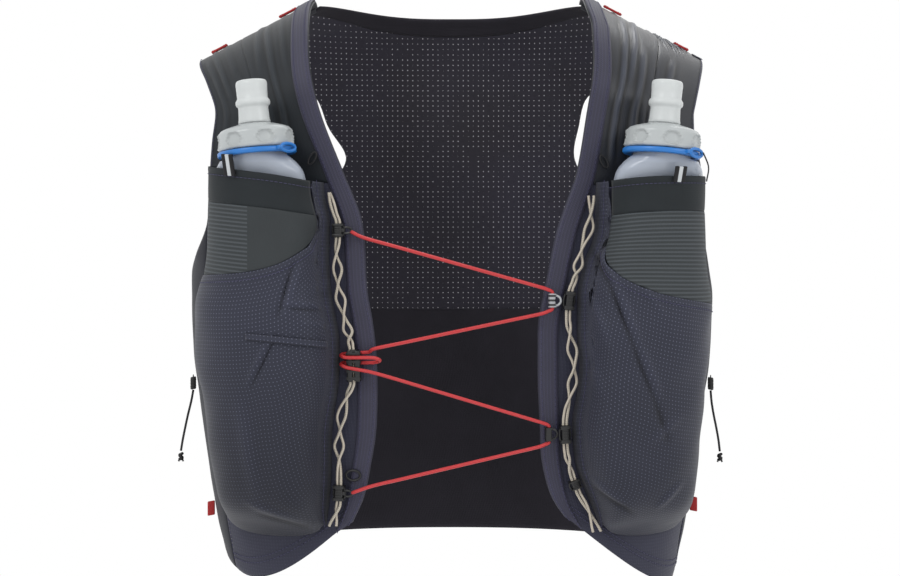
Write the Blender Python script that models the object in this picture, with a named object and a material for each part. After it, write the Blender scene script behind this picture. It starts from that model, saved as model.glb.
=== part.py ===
# Running hydration vest with two soft flasks, as worn. Metres, +Z up, front faces -Y.
import math

import bmesh
import bpy
from mathutils import Matrix, Vector

for old in list(bpy.data.objects):
    bpy.data.objects.remove(old, do_unlink=True)

vest_height = 0.400
chest_half_width = 0.180
shoulder_half_width = 0.190
chest_half_depth = 0.106
section_power = 2.3
shoulder_roll = 0.070
roll_quarter = math.pi / 2 * shoulder_roll
neck_half_width = 0.093
neck_crest = 0.023
shoulder_fall = 0.52
neck_rise = 0.40
seam_behind_crest = 0.015

cloth = 0.0016
binding_cloth = 0.0012
pocket_cloth = 0.0012
gap = 0.0004
binding_width = 0.012
side_seam_angle = 62.0
chest_seam = -0.268
armhole_floor = -0.318
armhole_scoop_l = 0.038
armhole_scoop_r = 0.060
neck_level = -0.214
neck_lean = 0.10
neck_tip = 0.02
pocket_end = -0.838
pocket_sag = -0.022
seam_gap = 0.0015
fold_height = 0.0011
back_columns = 14
foot = cloth + 3 * gap
mesh_share = 0.96
band_share = 0.058

flask_half_width = 0.0332
flask_half_depth = 0.0200
flask_wall = 0.0010
flask_length = 0.215
neck_radius = 0.0195
neck_height = 0.0130
shoulder_drop = 0.0042
cap_radius = 0.0258
cap_height = 0.0170
ring_height = 0.0034
valve_radius = 0.0103
valve_height = 0.0290
valve_wall = 0.0028

lace_diameter = 0.0024
daisy_diameter = 0.0019
daisy_lift = 0.0088
daisy_orbit = 0.0024
block_half_depth = 0.0028
pull_diameter = 0.0016
pull_count = 8

# height (share of vest_height), half width (share of chest_half_width),
# half depth (share of chest_half_depth)
torso_rows = [
    (0.10, 1.056, 0.943),
    (-0.22, 1.056, 0.960),
    (-0.30, 1.012, 0.970),
    (-0.37, 1.000, 0.985),
    (-0.47, 1.000, 1.000),
    (-0.57, 0.989, 0.985),
    (-0.65, 0.964, 0.968),
    (-0.75, 0.933, 0.935),
    (-0.84, 0.900, 0.905),
    (-0.92, 0.860, 0.880),
    (-1.05, 0.810, 0.850),
]

# height, left x, right x of the front panels' outer edge (shares of vest_height
# and chest_half_width)
outer_rows = [
    (0.00, 0.975, 0.965),
    (-0.052, 0.975, 0.965),
    (-0.090, 0.935, 0.944),
    (-0.131, 0.897, 0.920),
    (-0.150, 0.891, 0.911),
    (-0.191, 0.902, 0.915),
    (-0.235, 0.910, 0.938),
    (-0.308, 0.922, 0.950),
    (-0.460, 0.926, 0.953),
    (-0.572, 0.920, 0.946),
    (-0.686, 0.899, 0.928),
    (-0.806, 0.862, 0.890),
    (-0.930, 0.817, 0.853),
]

# height, left x, right x of the front panels' inner edge
inner_rows = [
    (0.070, 0.517, 0.494),
    (0.037, 0.535, 0.506),
    (0.000, 0.537, 0.524),
    (-0.079, 0.525, 0.523),
    (-0.152, 0.486, 0.498),
    (-0.251, 0.400, 0.459),
    (-0.316, 0.342, 0.409),
    (-0.353, 0.325, 0.383),
    (-0.444, 0.313, 0.341),
    (-0.500, 0.292, 0.318),
    (-0.546, 0.280, 0.316),
    (-0.604, 0.275, 0.317),
    (-0.679, 0.280, 0.325),
    (-0.729, 0.297, 0.331),
    (-0.790, 0.325, 0.367),
    (-0.834, 0.368, 0.430),
]

# side: height where the outer and the inner edge end at the hem, sag of the hem
# below the line between them (shares of vest_height)
hem_ends = {"left": (-0.922, -0.834, 0.030), "right": (-0.936, -0.826, 0.020)}

# left and right half span (shares of chest_half_width), height of the ends, height of
# the middle (shares of vest_height), bend of the row between them
back_rows = [
    (0.896, 0.896, -0.482, -0.482, 2.0),
    (0.900, 0.900, -0.430, -0.415, 2.0),
    (0.900, 0.900, -0.375, -0.350, 2.0),
    (0.893, 0.893, -0.328, -0.295, 2.0),
    (0.800, 0.820, -0.312, -0.250, 2.0),
    (0.640, 0.690, -0.288, -0.210, 2.0),
    (0.500, 0.560, -0.250, -0.175, 2.0),
    (0.430, 0.497, -0.205, -0.140, 2.0),
    (0.500, 0.513, -0.150, -0.105, 2.0),
    (0.560, 0.555, -0.092, -0.070, 1.8),
    (0.700, 0.700, -0.084, -0.056, 1.6),
    (0.850, 0.850, -0.074, -0.045, 1.3),
]

# half span (share of chest_half_width), height of the middle (share of
# vest_height), bend; the ends lie on the shoulder seam
yoke_rows = [
    (0.970, -0.034, 1.1),
    (0.880, -0.020, 1.2),
    (0.760, -0.005, 1.4),
    (0.586, 0.0125, 2.2),
]
neck_rows = [
    (0.582, 0.0145, 2.2),
    (0.549, 0.0290, 2.3),
    (0.516, 0.0430, 2.4),
]

# height, left x, right x of the line that the pockets' inner edge follows
pocket_edge_rows = [
    (-0.235, 0.474, 0.534),
    (-0.284, 0.468, 0.527),
    (-0.331, 0.446, 0.525),
    (-0.362, 0.448, 0.516),
    (-0.399, 0.450, 0.484),
    (-0.454, 0.440, 0.458),
    (-0.521, 0.414, 0.458),
    (-0.571, 0.412, 0.466),
    (-0.612, 0.418, 0.458),
    (-0.671, 0.438, 0.440),
    (-0.738, 0.442, 0.454),
    (-0.780, 0.446, 0.488),
    (-0.846, 0.464, 0.548),
]

# height, distance of the pocket's outer edge from the panel's, left and right
pocket_inset_rows = [
    (-0.235, 0.052, 0.058),
    (-0.310, 0.066, 0.072),
    (-0.360, 0.070, 0.072),
    (-0.420, 0.050, 0.060),
    (-0.466, 0.014, 0.036),
    (-0.511, 0.008, 0.034),
    (-0.570, 0.008, 0.042),
    (-0.620, 0.026, 0.048),
    (-0.700, 0.036, 0.050),
    (-0.780, 0.040, 0.036),
]

# height, left x, right x of the flask's middle where it lies on the panel, and
# height of the pocket over the panel (share of flask_half_depth)
flask_rows = [
    (-0.200, 0.664, 0.712, 2.42),
    (-0.250, 0.660, 0.708, 2.38),
    (-0.300, 0.656, 0.706, 2.28),
    (-0.380, 0.652, 0.694, 2.21),
    (-0.460, 0.648, 0.680, 2.20),
    (-0.620, 0.640, 0.655, 2.17),
    (-0.740, 0.632, 0.640, 2.12),
    (-0.780, 0.630, 0.634, 2.02),
    (-0.805, 0.628, 0.632, 1.78),
    (-0.826, 0.628, 0.632, 1.25),
    (-0.845, 0.628, 0.632, 0.45),
    (-0.860, 0.628, 0.632, 0.08),
]

# share of the way across the pocket, height of the mouth and of the seam under
# the mesh at the left, then at the right (shares of vest_height)
mouth_rows = [
    (0.00, -0.236, -0.424, -0.256, -0.474),
    (0.25, -0.241, -0.421, -0.256, -0.468),
    (0.50, -0.249, -0.417, -0.257, -0.456),
    (0.70, -0.256, -0.404, -0.259, -0.436),
    (0.85, -0.262, -0.384, -0.262, -0.415),
    (0.93, -0.265, -0.366, -0.264, -0.394),
    (1.00, -0.266, -0.326, -0.266, -0.340),
]

# height, x, turns of the strands round each other, spread of the loops (share of
# daisy_orbit) along each twisted cord
daisy_rows = {
    "left": [
        (-0.284, 0.444, -0.25, 1.5), (-0.318, 0.424, 0.00, 1.0), (-0.334, 0.412, 0.0, 1.0),
        (-0.362, 0.412, 0.0, 1.0), (-0.390, 0.418, 0.25, 1.6), (-0.413, 0.413, 0.50, 2.4),
        (-0.440, 0.411, 0.75, 1.4), (-0.462, 0.402, 1.00, 2.6), (-0.490, 0.389, 1.25, 1.4),
        (-0.512, 0.376, 1.50, 2.4), (-0.538, 0.364, 2.00, 1.0), (-0.545, 0.362, 2.00, 1.0),
        (-0.597, 0.360, 2.00, 1.0), (-0.604, 0.362, 2.00, 1.0), (-0.625, 0.382, 2.25, 2.0),
        (-0.654, 0.399, 2.50, 2.4), (-0.680, 0.405, 2.75, 1.4), (-0.704, 0.408, 3.00, 2.6),
        (-0.730, 0.408, 3.25, 1.3), (-0.766, 0.408, 3.50, 1.0), (-0.800, 0.410, 3.50, 1.0),
        (-0.818, 0.420, 3.75, 1.4), (-0.838, 0.431, 4.00, 2.0),
    ],
    "right": [
        (-0.289, 0.503, -0.50, 1.5), (-0.316, 0.502, -0.25, 1.2), (-0.345, 0.494, 0.00, 2.4),
        (-0.376, 0.470, 0.25, 1.3), (-0.405, 0.455, 0.50, 2.4), (-0.432, 0.440, 1.00, 1.0),
        (-0.446, 0.428, 1.00, 1.0), (-0.482, 0.418, 1.00, 1.0), (-0.496, 0.418, 1.00, 1.0),
        (-0.516, 0.424, 1.25, 1.5), (-0.544, 0.433, 1.50, 2.6), (-0.571, 0.440, 1.75, 1.3),
        (-0.598, 0.434, 2.00, 2.4), (-0.622, 0.424, 2.25, 1.3), (-0.645, 0.412, 2.50, 1.0),
        (-0.664, 0.407, 2.50, 1.0), (-0.704, 0.410, 2.50, 1.0), (-0.716, 0.413, 2.50, 1.0),
        (-0.734, 0.422, 2.75, 1.5), (-0.753, 0.434, 3.00, 1.0), (-0.759, 0.438, 3.00, 1.0),
        (-0.777, 0.452, 3.00, 1.0), (-0.784, 0.458, 3.00, 1.0), (-0.812, 0.492, 3.25, 1.5),
        (-0.848, 0.523, 3.50, 2.4),
    ],
}

# name: side, heights of the top and bottom (shares of vest_height), half width (mm)
blocks = {
    "hook_upper_l": (-1, -0.336, -0.360, 4.6),
    "cord_lock_l": (-1, -0.545, -0.597, 4.8),
    "hook_lower_l": (-1, -0.768, -0.796, 4.6),
    "ring_upper_r": (1, -0.448, -0.480, 4.2),
    "ring_lower_r": (1, -0.668, -0.700, 4.2),
    "clip_r": (1, -0.760, -0.776, 4.4),
}

# height, x with its sign (shares), lift over the panel in mm along the lace
lace_rows = [
    (-0.3500, -0.3655, 8.8), (-0.3600, -0.3200, 8.4), (-0.4420, 0.3200, 8.8),
    (-0.4462, 0.3480, 8.8), (-0.4490, 0.3590, 8.8), (-0.4530, 0.3620, 8.8),
    (-0.4740, 0.3620, 8.8), (-0.4780, 0.3590, 8.8), (-0.4805, 0.3480, 8.8),
    (-0.4850, 0.3200, 8.8), (-0.5420, -0.2800, 8.0), (-0.5475, -0.3000, 5.2),
    (-0.5490, -0.3200, 4.5), (-0.5510, -0.3860, 4.5), (-0.5515, -0.3980, 6.6),
    (-0.5530, -0.4000, 9.6), (-0.5545, -0.3890, 12.9), (-0.5560, -0.3700, 13.5),
    (-0.5560, -0.2900, 13.3), (-0.5580, -0.2680, 12.4), (-0.5610, -0.2610, 9.6),
    (-0.5640, -0.2700, 6.2), (-0.5660, -0.3000, 4.6), (-0.5660, -0.3860, 4.5),
    (-0.5665, -0.3980, 6.6), (-0.5680, -0.4000, 9.6), (-0.5700, -0.3890, 12.9),
    (-0.5730, -0.3700, 13.5), (-0.5780, -0.3100, 13.3), (-0.5830, -0.2700, 11.0),
    (-0.5900, -0.2200, 9.0), (-0.6620, 0.3080, 8.8), (-0.6662, 0.3360, 8.8),
    (-0.6690, 0.3470, 8.8), (-0.6730, 0.3500, 8.8), (-0.6940, 0.3500, 8.8),
    (-0.6980, 0.3470, 8.8), (-0.7005, 0.3360, 8.8), (-0.7050, 0.3080, 8.8),
    (-0.7700, -0.2900, 8.6), (-0.7820, -0.3630, 8.8),
]

# name: heights of the top and bottom (shares), x of the cord in it (share)
gliders = {
    "glider_upper_r": (-0.4515, -0.4755, 0.3620),
    "glider_lower_r": (-0.6715, -0.6955, 0.3500),
}

# name: side, x (share), drop over the shoulder, length, turn on the strap in
# degrees
shoulder_tabs = {
    "shoulder_tab_a_l": (-1, 0.895, 0.000, 0.0125, 0.0),
    "shoulder_tab_b_l": (-1, 0.628, 0.004, 0.0140, 0.0),
    "shoulder_tab_a_r": (1, 0.612, 0.010, 0.0140, 0.0),
    "shoulder_tab_b_r": (1, 0.880, 0.004, 0.0115, 0.0),
}

# height, side distance from the hanging point (share of vest_height and mm)
pull_rows = {
    "left": [(-0.602, 0.0, 0.0), (-0.622, 1.4, -1.0), (-0.645, 3.6, -1.4), (-0.668, 5.6, -1.2),
         (-0.690, 7.4, -0.6), (-0.708, 8.6, 0.0)],
    "right": [(-0.610, 0.0, 0.0), (-0.630, 0.6, -1.0), (-0.652, 2.0, -1.4), (-0.674, 3.8, -1.2),
        (-0.696, 5.4, -0.6), (-0.716, 6.4, 0.0)],
}


def power(value, exponent):
    return math.copysign(abs(value) ** exponent, value)


def mix(a, b, share):
    return a + (b - a) * share


def pick(table, side):
    """A table's value for the left side (-1) or the right one (1)."""
    return table["left" if side < 0 else "right"]


def read(rows, column, at):
    """Smooth value of a column at the first column's value."""
    if rows[0][0] > rows[-1][0]:
        rows = rows[::-1]
    if at <= rows[0][0]:
        return rows[0][column]
    if at >= rows[-1][0]:
        return rows[-1][column]
    k = 0
    while rows[k + 1][0] < at:
        k += 1
    low, high = rows[k], rows[k + 1]
    span = high[0] - low[0]
    step = (high[column] - low[column]) / span
    before = step
    after = step
    if k > 0:
        before = (high[column] - rows[k - 1][column]) / (high[0] - rows[k - 1][0])
    if k + 2 < len(rows):
        after = (rows[k + 2][column] - low[column]) / (rows[k + 2][0] - low[0])
    if before * step <= 0:
        before = 0
    if after * step <= 0:
        after = 0
    t = (at - low[0]) / span
    a = (2 * t ** 3 - 3 * t ** 2 + 1) * low[column] + (t ** 3 - 2 * t ** 2 + t) * span * before
    b = (3 * t ** 2 - 2 * t ** 3) * high[column] + (t ** 3 - t ** 2) * span * after
    return a + b


def half_width(z):
    return chest_half_width * read(torso_rows, 1, z / vest_height)


def half_depth(z):
    return chest_half_depth * read(torso_rows, 2, z / vest_height)


def crest(x):
    inside = neck_half_width - abs(x)
    if inside > 0:
        return neck_crest + neck_rise * (neck_half_width ** 2 - x ** 2) / (2 * neck_half_width)
    return neck_crest + shoulder_fall * inside


def level(angle):
    """Height of the shoulder crest over an angle."""
    return crest(shoulder_half_width * power(math.sin(math.radians(abs(angle))), 2 / section_power))


def torso(angle, drop):
    """Point at an angle from the front (degrees) and a distance from the crest."""
    turn = math.radians(angle)
    across = power(math.sin(turn), 2 / section_power)
    along = power(math.cos(turn), 2 / section_power)
    top = crest(shoulder_half_width * across)
    if drop < roll_quarter:
        z = top - shoulder_roll * (1 - math.cos(drop / shoulder_roll))
        reach = math.sin(drop / shoulder_roll)
    else:
        z = top - shoulder_roll - (drop - roll_quarter)
        reach = 1.0
    return Vector((half_width(z) * across, -half_depth(z) * along * reach, z))


def place(angle, drop, lift=0.0):
    """Point and outward normal of the torso surface, lifted off it."""
    point = torso(angle, drop)
    east = torso(angle + 0.4, drop) - torso(angle - 0.4, drop)
    south = torso(angle, drop + 0.0005) - torso(angle, drop - 0.0005)
    normal = east.cross(south).normalized()
    core = Vector((point.x * 0.6, 0.0, min(point.z, -0.10)))
    if normal.dot(point - core) < 0:
        normal = -normal
    return point + normal * lift, normal


def find(x, z):
    """Angle and distance from the crest of the front point at x and z."""
    share = min(abs(x) / half_width(z), 0.9999)
    angle = math.degrees(math.asin(share ** (section_power / 2)))
    top = crest(shoulder_half_width * share)
    fall = (top - z) / shoulder_roll
    if fall < 1:
        drop = shoulder_roll * math.acos(max(-1.0, min(1.0, 1 - fall)))
    else:
        drop = roll_quarter + top - shoulder_roll - z
    return math.copysign(angle, x), drop


def edge(rows, side, drop):
    """Angle of an edge table at a distance from the crest."""
    column = 1 if side < 0 else 2
    x = side * chest_half_width * rows[0][column]
    z = 0.0
    for step in range(6):
        share = min(abs(x) / half_width(z), 0.9999)
        top = crest(shoulder_half_width * share)
        if drop < roll_quarter:
            z = top - shoulder_roll * (1 - math.cos(max(drop, 0.0) / shoulder_roll))
        else:
            z = top - shoulder_roll - (drop - roll_quarter)
        x = side * chest_half_width * read(rows, column, z / vest_height)
    share = min(abs(x) / half_width(z), 0.9999)
    return math.copysign(math.degrees(math.asin(share ** (section_power / 2))), x)


def edge_drop(rows, side, level_share):
    """Distance from the crest of an edge's point at a height (share of vest_height)."""
    column = 1 if side < 0 else 2
    x = side * chest_half_width * read(rows, column, level_share)
    return find(x, level_share * vest_height)[1]


def front(side, u, v, lift=0.0):
    """Front: u from outer to inner edge, v 0 shoulder seam, 1 chest seam, 2 hem."""
    out_z, in_z, sag = pick(hem_ends, side)
    out_seam = edge_drop(outer_rows, side, chest_seam)
    in_seam = edge_drop(inner_rows, side, chest_seam)
    if v < 1:
        out_drop = mix(-seam_behind_crest, out_seam, v)
        in_drop = mix(-seam_behind_crest, in_seam, v)
        drop = mix(out_drop, in_drop, u)
    else:
        out_drop = mix(out_seam, edge_drop(outer_rows, side, out_z), v - 1)
        in_drop = mix(in_seam, edge_drop(inner_rows, side, in_z), v - 1)
        drop = mix(out_drop, in_drop, u) + sag * vest_height * 4 * u * (1 - u) * (v - 1) ** 5
    angle = mix(edge(outer_rows, side, out_drop), edge(inner_rows, side, in_drop), u)
    return place(angle, drop, lift)


def material(name, colour, roughness, metallic=0.0):
    mat = bpy.data.materials.new(name)
    mat.use_nodes = True
    shader = mat.node_tree.nodes["Principled BSDF"]
    shader.inputs["Base Color"].default_value = (*colour, 1.0)
    shader.inputs["Roughness"].default_value = roughness
    shader.inputs["Metallic"].default_value = metallic
    mat.diffuse_color = (*colour, 1.0)
    return mat


indigo = (0.045, 0.047, 0.072)
indigo_light = (0.055, 0.066, 0.098)
strap_green = (0.033, 0.038, 0.045)
inside_dark = (0.020, 0.019, 0.023)
mesh_dark = (0.040, 0.052, 0.055)
binding_blue = (0.038, 0.036, 0.062)
black_plastic = (0.012, 0.012, 0.013)
lace_red = (0.690, 0.040, 0.050)
tab_red = (0.460, 0.022, 0.026)
cream = (0.620, 0.580, 0.500)
ring_blue = (0.045, 0.270, 0.670)
frosted = (0.720, 0.740, 0.750)
film = (0.560, 0.640, 0.740)
silver = (0.600, 0.600, 0.620)


def finish(name, mesh, colour, roughness=0.8, metallic=0.0, smooth=True):
    bmesh.ops.recalc_face_normals(mesh, faces=mesh.faces)
    if mesh.calc_volume(signed=True) < 0:
        bmesh.ops.reverse_faces(mesh, faces=mesh.faces)
    data = bpy.data.meshes.new(name)
    mesh.to_mesh(data)
    mesh.free()
    obj = bpy.data.objects.new(name, data)
    bpy.context.scene.collection.objects.link(obj)
    data.materials.append(material(name + "_finish", colour, roughness, metallic))
    if smooth:
        data.polygons.foreach_set("use_smooth", [True] * len(data.polygons))
    return obj


def shell(name, grid, inner, outer, colour, roughness=0.8):
    """Closed thin solid over a grid of (point, normal), between two lifts."""
    mesh = bmesh.new()
    layers = []
    for lift in (inner, outer):
        rows = []
        for line in grid:
            rows.append([mesh.verts.new(point + normal * lift) for point, normal in line])
        layers.append(rows)
    low, high = layers
    tall = len(grid)
    wide = len(grid[0])
    for j in range(tall - 1):
        for i in range(wide - 1):
            mesh.faces.new((high[j][i], high[j][i + 1], high[j + 1][i + 1], high[j + 1][i]))
            mesh.faces.new((low[j][i], low[j + 1][i], low[j + 1][i + 1], low[j][i + 1]))
    for j in range(tall - 1):
        for i in (0, wide - 1):
            mesh.faces.new((low[j][i], low[j + 1][i], high[j + 1][i], high[j][i]))
    for i in range(wide - 1):
        for j in (0, tall - 1):
            mesh.faces.new((low[j][i], low[j][i + 1], high[j][i + 1], high[j][i]))
    return finish(name, mesh, colour, roughness)


def loops(name, rings, colour, roughness=0.5, metallic=0.0, open_ends=False):
    """Closed solid through rings of points; the ends are capped or joined."""
    mesh = bmesh.new()
    lines = [[mesh.verts.new(point) for point in ring] for ring in rings]
    count = len(rings[0])
    pairs = list(zip(lines, lines[1:]))
    if open_ends:
        pairs.append((lines[-1], lines[0]))
    for a, b in pairs:
        for i in range(count):
            k = (i + 1) % count
            mesh.faces.new((a[i], a[k], b[k], b[i]))
    if not open_ends:
        mesh.faces.new(lines[0])
        mesh.faces.new(lines[-1][::-1])
    return finish(name, mesh, colour, roughness, metallic)


def turned(name, frame, profile, sides, colour, roughness=0.4, grips=0.0):
    """Solid of revolution about a frame's axis from a closed (radius, height) profile."""
    rings = []
    for radius, height in profile:
        ring = []
        for i in range(sides):
            turn = math.tau * i / sides
            dip = grips * (0.5 + 0.5 * math.cos(6 * turn)) if radius > neck_radius * 1.2 else 0.0
            r = radius - dip
            ring.append(frame @ Vector((r * math.cos(turn), r * math.sin(turn), height)))
        rings.append(ring)
    return loops(name, rings, colour, roughness, open_ends=True)


def tube(name, points, diameter, colour, sides=6, roughness=0.6, sizes=None):
    """Closed tube along a smooth route, its sections turned with the least twist."""
    rings = []
    side_axis = Vector((0.0, 1.0, 0.0))
    last = len(points) - 1
    for k, point in enumerate(points):
        ahead = (points[min(k + 1, last)] - points[max(k - 1, 0)]).normalized()
        side_axis = (side_axis - ahead * side_axis.dot(ahead)).normalized()
        other = ahead.cross(side_axis)
        radius = diameter / 2 * (sizes[k] if sizes else 1.0)
        ring = []
        for i in range(sides):
            turn = math.tau * i / sides
            ring.append(point + (side_axis * math.cos(turn) + other * math.sin(turn)) * radius)
        rings.append(ring)
    return loops(name, rings, colour, roughness)


def box(name, middle, axes, halves, colour, roughness=0.5, metallic=0.0, bevel=0.0):
    """Box with its own axes, its edges cut off."""
    mesh = bmesh.new()
    bmesh.ops.create_cube(mesh, size=2.0)
    turn = Matrix((axes[0] * halves[0], axes[1] * halves[1], axes[2] * halves[2])).transposed()
    for vert in mesh.verts:
        vert.co = middle + turn @ vert.co
    if mesh.calc_volume(signed=True) < 0:
        bmesh.ops.reverse_faces(mesh, faces=mesh.faces)
    if bevel:
        bmesh.ops.bevel(mesh, geom=mesh.edges[:], offset=bevel, segments=1, affect="EDGES")
    return finish(name, mesh, colour, roughness, metallic, smooth=False)


def pivot(obj, point):
    """Put an object's origin at a point without moving its faces."""
    obj.data.transform(Matrix.Translation(-point))
    obj.location = point


def cut(target, cutter):
    """Cut one object out of another and remove the cutter."""
    change = target.modifiers.new("opening", "BOOLEAN")
    change.operation = "DIFFERENCE"
    change.solver = "EXACT"
    change.object = cutter
    bpy.context.view_layer.update()
    graph = bpy.context.evaluated_depsgraph_get()
    data = bpy.data.meshes.new_from_object(target.evaluated_get(graph))
    target.modifiers.clear()
    mesh = bmesh.new()
    mesh.from_mesh(data)
    bmesh.ops.recalc_face_normals(mesh, faces=mesh.faces)
    if mesh.calc_volume(signed=True) < 0:
        bmesh.ops.reverse_faces(mesh, faces=mesh.faces)
    mesh.to_mesh(data)
    mesh.free()
    target.data = data
    bpy.data.objects.remove(cutter, do_unlink=True)
    return target


for side, tag in ((-1, "_l"), (1, "_r")):
    grid = []
    for j in range(10):
        v = mix(0.0, 1 - 2 * seam_gap, j / 9)
        line = []
        for i in range(11):
            u = i / 10
            point, normal = front(side, u, v)
            fade = math.sin(math.pi * min(1.0, u / 0.84)) * math.sin(math.pi * j / 9) ** 2
            fold = fold_height * fade * (1 + math.sin(u * 17.0 + j * 0.45 * side))
            line.append((point + normal * fold, normal))
        grid.append(line)
    shell("shoulder_strap" + tag, grid, 0.0, cloth, strap_green, 0.75)

    grid = []
    for j in range(12):
        v = mix(1 + seam_gap, 2.0, j / 11)
        grid.append([front(side, i / 8, v) for i in range(9)])
    shell("front_panel" + tag, grid, 0.0, cloth, indigo, 0.85)

    grid = []
    steps = [mix(0.0, 1 - 2 * seam_gap, j / 9) for j in range(10)]
    steps += [mix(1 + seam_gap, 2.0, j / 11) for j in range(12)]
    for v in steps:
        a = front(side, 1.0, v)[0]
        b = front(side, 0.5, v)[0]
        u = 1 - 0.5 * binding_width / (a - b).length
        grid.append([front(side, u, v), front(side, (u + 1) / 2, v), front(side, 1.0, v)])
    shell("front_binding" + tag, grid, cloth + gap, cloth + gap + binding_cloth, binding_blue)

    grid = []
    top = edge_drop(outer_rows, side, armhole_floor)
    end = edge_drop(outer_rows, side, pick(hem_ends, side)[0])
    scoop = armhole_scoop_l if side < 0 else armhole_scoop_r
    for j in range(9):
        out_drop = mix(top, end, j / 8)
        start = edge(outer_rows, side, out_drop)
        line = []
        for i in range(8):
            share = i / 7
            angle = mix(start + side * 0.6, side * (180 - side_seam_angle - 0.3), share)
            rise = share * mix(0.004, 0.012, j / 8) + 0.005 * math.sin(math.pi * share) * j / 8
            dip = scoop * (1 - j / 8) * math.sin(math.pi * share * 0.999) ** 0.7
            drop = out_drop - rise + dip + level(angle) - level(start)
            line.append(place(angle, drop))
        grid.append(line)
    shell("side_panel" + tag, grid, 0.0, cloth, inside_dark, 0.85)


def back(across, drop):
    """Back point at an angle from the middle of the back and a distance from the crest."""
    return place(180 - across, drop)


def back_line(ends, mid_drop, bend):
    """Row of back points between a left and a right (angle, drop), bent to its middle."""
    line = []
    for i in range(back_columns + 1):
        share = 2 * i / back_columns - 1
        half_angle, end_drop = ends[0] if share < 0 else ends[1]
        depth = mix(mid_drop - level(0.0), end_drop - level(half_angle), abs(share) ** bend)
        line.append(back(half_angle * share, depth + level(half_angle * share)))
    return line


grid = []
for left, right, end_z, mid_z, bend in back_rows:
    ends = []
    for span in (left, right):
        angle, end_drop = find(span * chest_half_width, end_z * vest_height)
        ends.append((min(angle, side_seam_angle - 0.3), end_drop))
    mid_drop = find(0.0001, mid_z * vest_height)[1]
    grid.append(back_line(ends, mid_drop, bend))
for span, mid_z, bend in yoke_rows:
    angle = find(span * chest_half_width, crest(span * chest_half_width) - 0.002)[0]
    mid_drop = find(0.0001, mid_z * vest_height)[1]
    grid.append(back_line([(angle, seam_behind_crest + 0.0010)] * 2, mid_drop, bend))
shell("back_mesh_panel", grid, 0.0, cloth, inside_dark, 0.85)

grid = []
for span, mid_z, bend in neck_rows:
    angle = find(span * chest_half_width, crest(span * chest_half_width) - 0.002)[0]
    mid_drop = find(0.0001, mid_z * vest_height)[1]
    grid.append(back_line([(angle, seam_behind_crest + 0.0010)] * 2, mid_drop, bend))
shell("neck_binding", grid, 0.0, cloth, inside_dark, 0.8)

grid = []
for j in range(6):
    share = j / 5
    half = side_seam_angle - 0.3
    end_z = mix(-0.4835, -0.895, share) * vest_height
    mid_z = mix(-0.4835, -0.880, share) * vest_height
    base = roll_quarter - shoulder_roll
    ends = [(half, base + level(half) - end_z)] * 2
    grid.append(back_line(ends, base + level(0.0) - mid_z, 2.0))
shell("back_lower_panel", grid, 0.0, cloth, inside_dark, 0.9)


def flask_frame(side, z):
    """Level frame at the flask: base point on the panel, across and outward axes."""
    column = 1 if side < 0 else 2
    x = side * chest_half_width * read(flask_rows, column, z / vest_height)
    angle, drop = find(x, z)
    base, normal = place(angle, drop, cloth)
    out = Vector((normal.x, normal.y, 0.0)).normalized()
    across = Vector((out.y, -out.x, 0.0))
    if across.x * side < 0:
        across = -across
    return base, across, out


def front_at(side, x_share, z):
    angle, drop = find(side * chest_half_width * x_share, z)
    return place(angle, drop)


def pocket(side, u, z):
    """Inner face of the pocket: u from its outer edge to its inner edge, at a height."""
    column = 1 if side < 0 else 2
    level = z / vest_height
    out_share = read(outer_rows, column, level) - read(pocket_inset_rows, column, level)
    in_share = read(pocket_edge_rows, column, level)
    turn = 0.5 - 0.5 * math.cos(math.pi * min(1.0, u))
    x_share = mix(out_share, in_share, turn)
    point, normal = front_at(side, x_share, z)
    base, across, out = flask_frame(side, z)
    away = point - base
    reach_out = (front_at(side, out_share, z)[0] - base).dot(across)
    reach_in = (front_at(side, in_share, z)[0] - base).dot(across)
    s = away.dot(across)
    limit, shape = (reach_out, 2.4) if s > 0 else (reach_in, 5.0)
    swell = max(0.0, 1 - abs(s / limit) ** shape) ** (1 / shape)
    rise = read(flask_rows, 3, level) * flask_half_depth * swell
    return point + normal * foot + out * rise


def pocket_normal(side, u, z):
    a = pocket(side, min(1.0, u + 0.02), z) - pocket(side, max(0.0, u - 0.02), z)
    b = pocket(side, u, z + 0.002) - pocket(side, u, z - 0.002)
    normal = a.cross(b).normalized()
    base, across, out = flask_frame(side, z)
    if normal.dot(out) < 0:
        normal = -normal
    return normal


def pocket_point(side, u, z):
    return pocket(side, u, z), pocket_normal(side, u, z)


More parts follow.
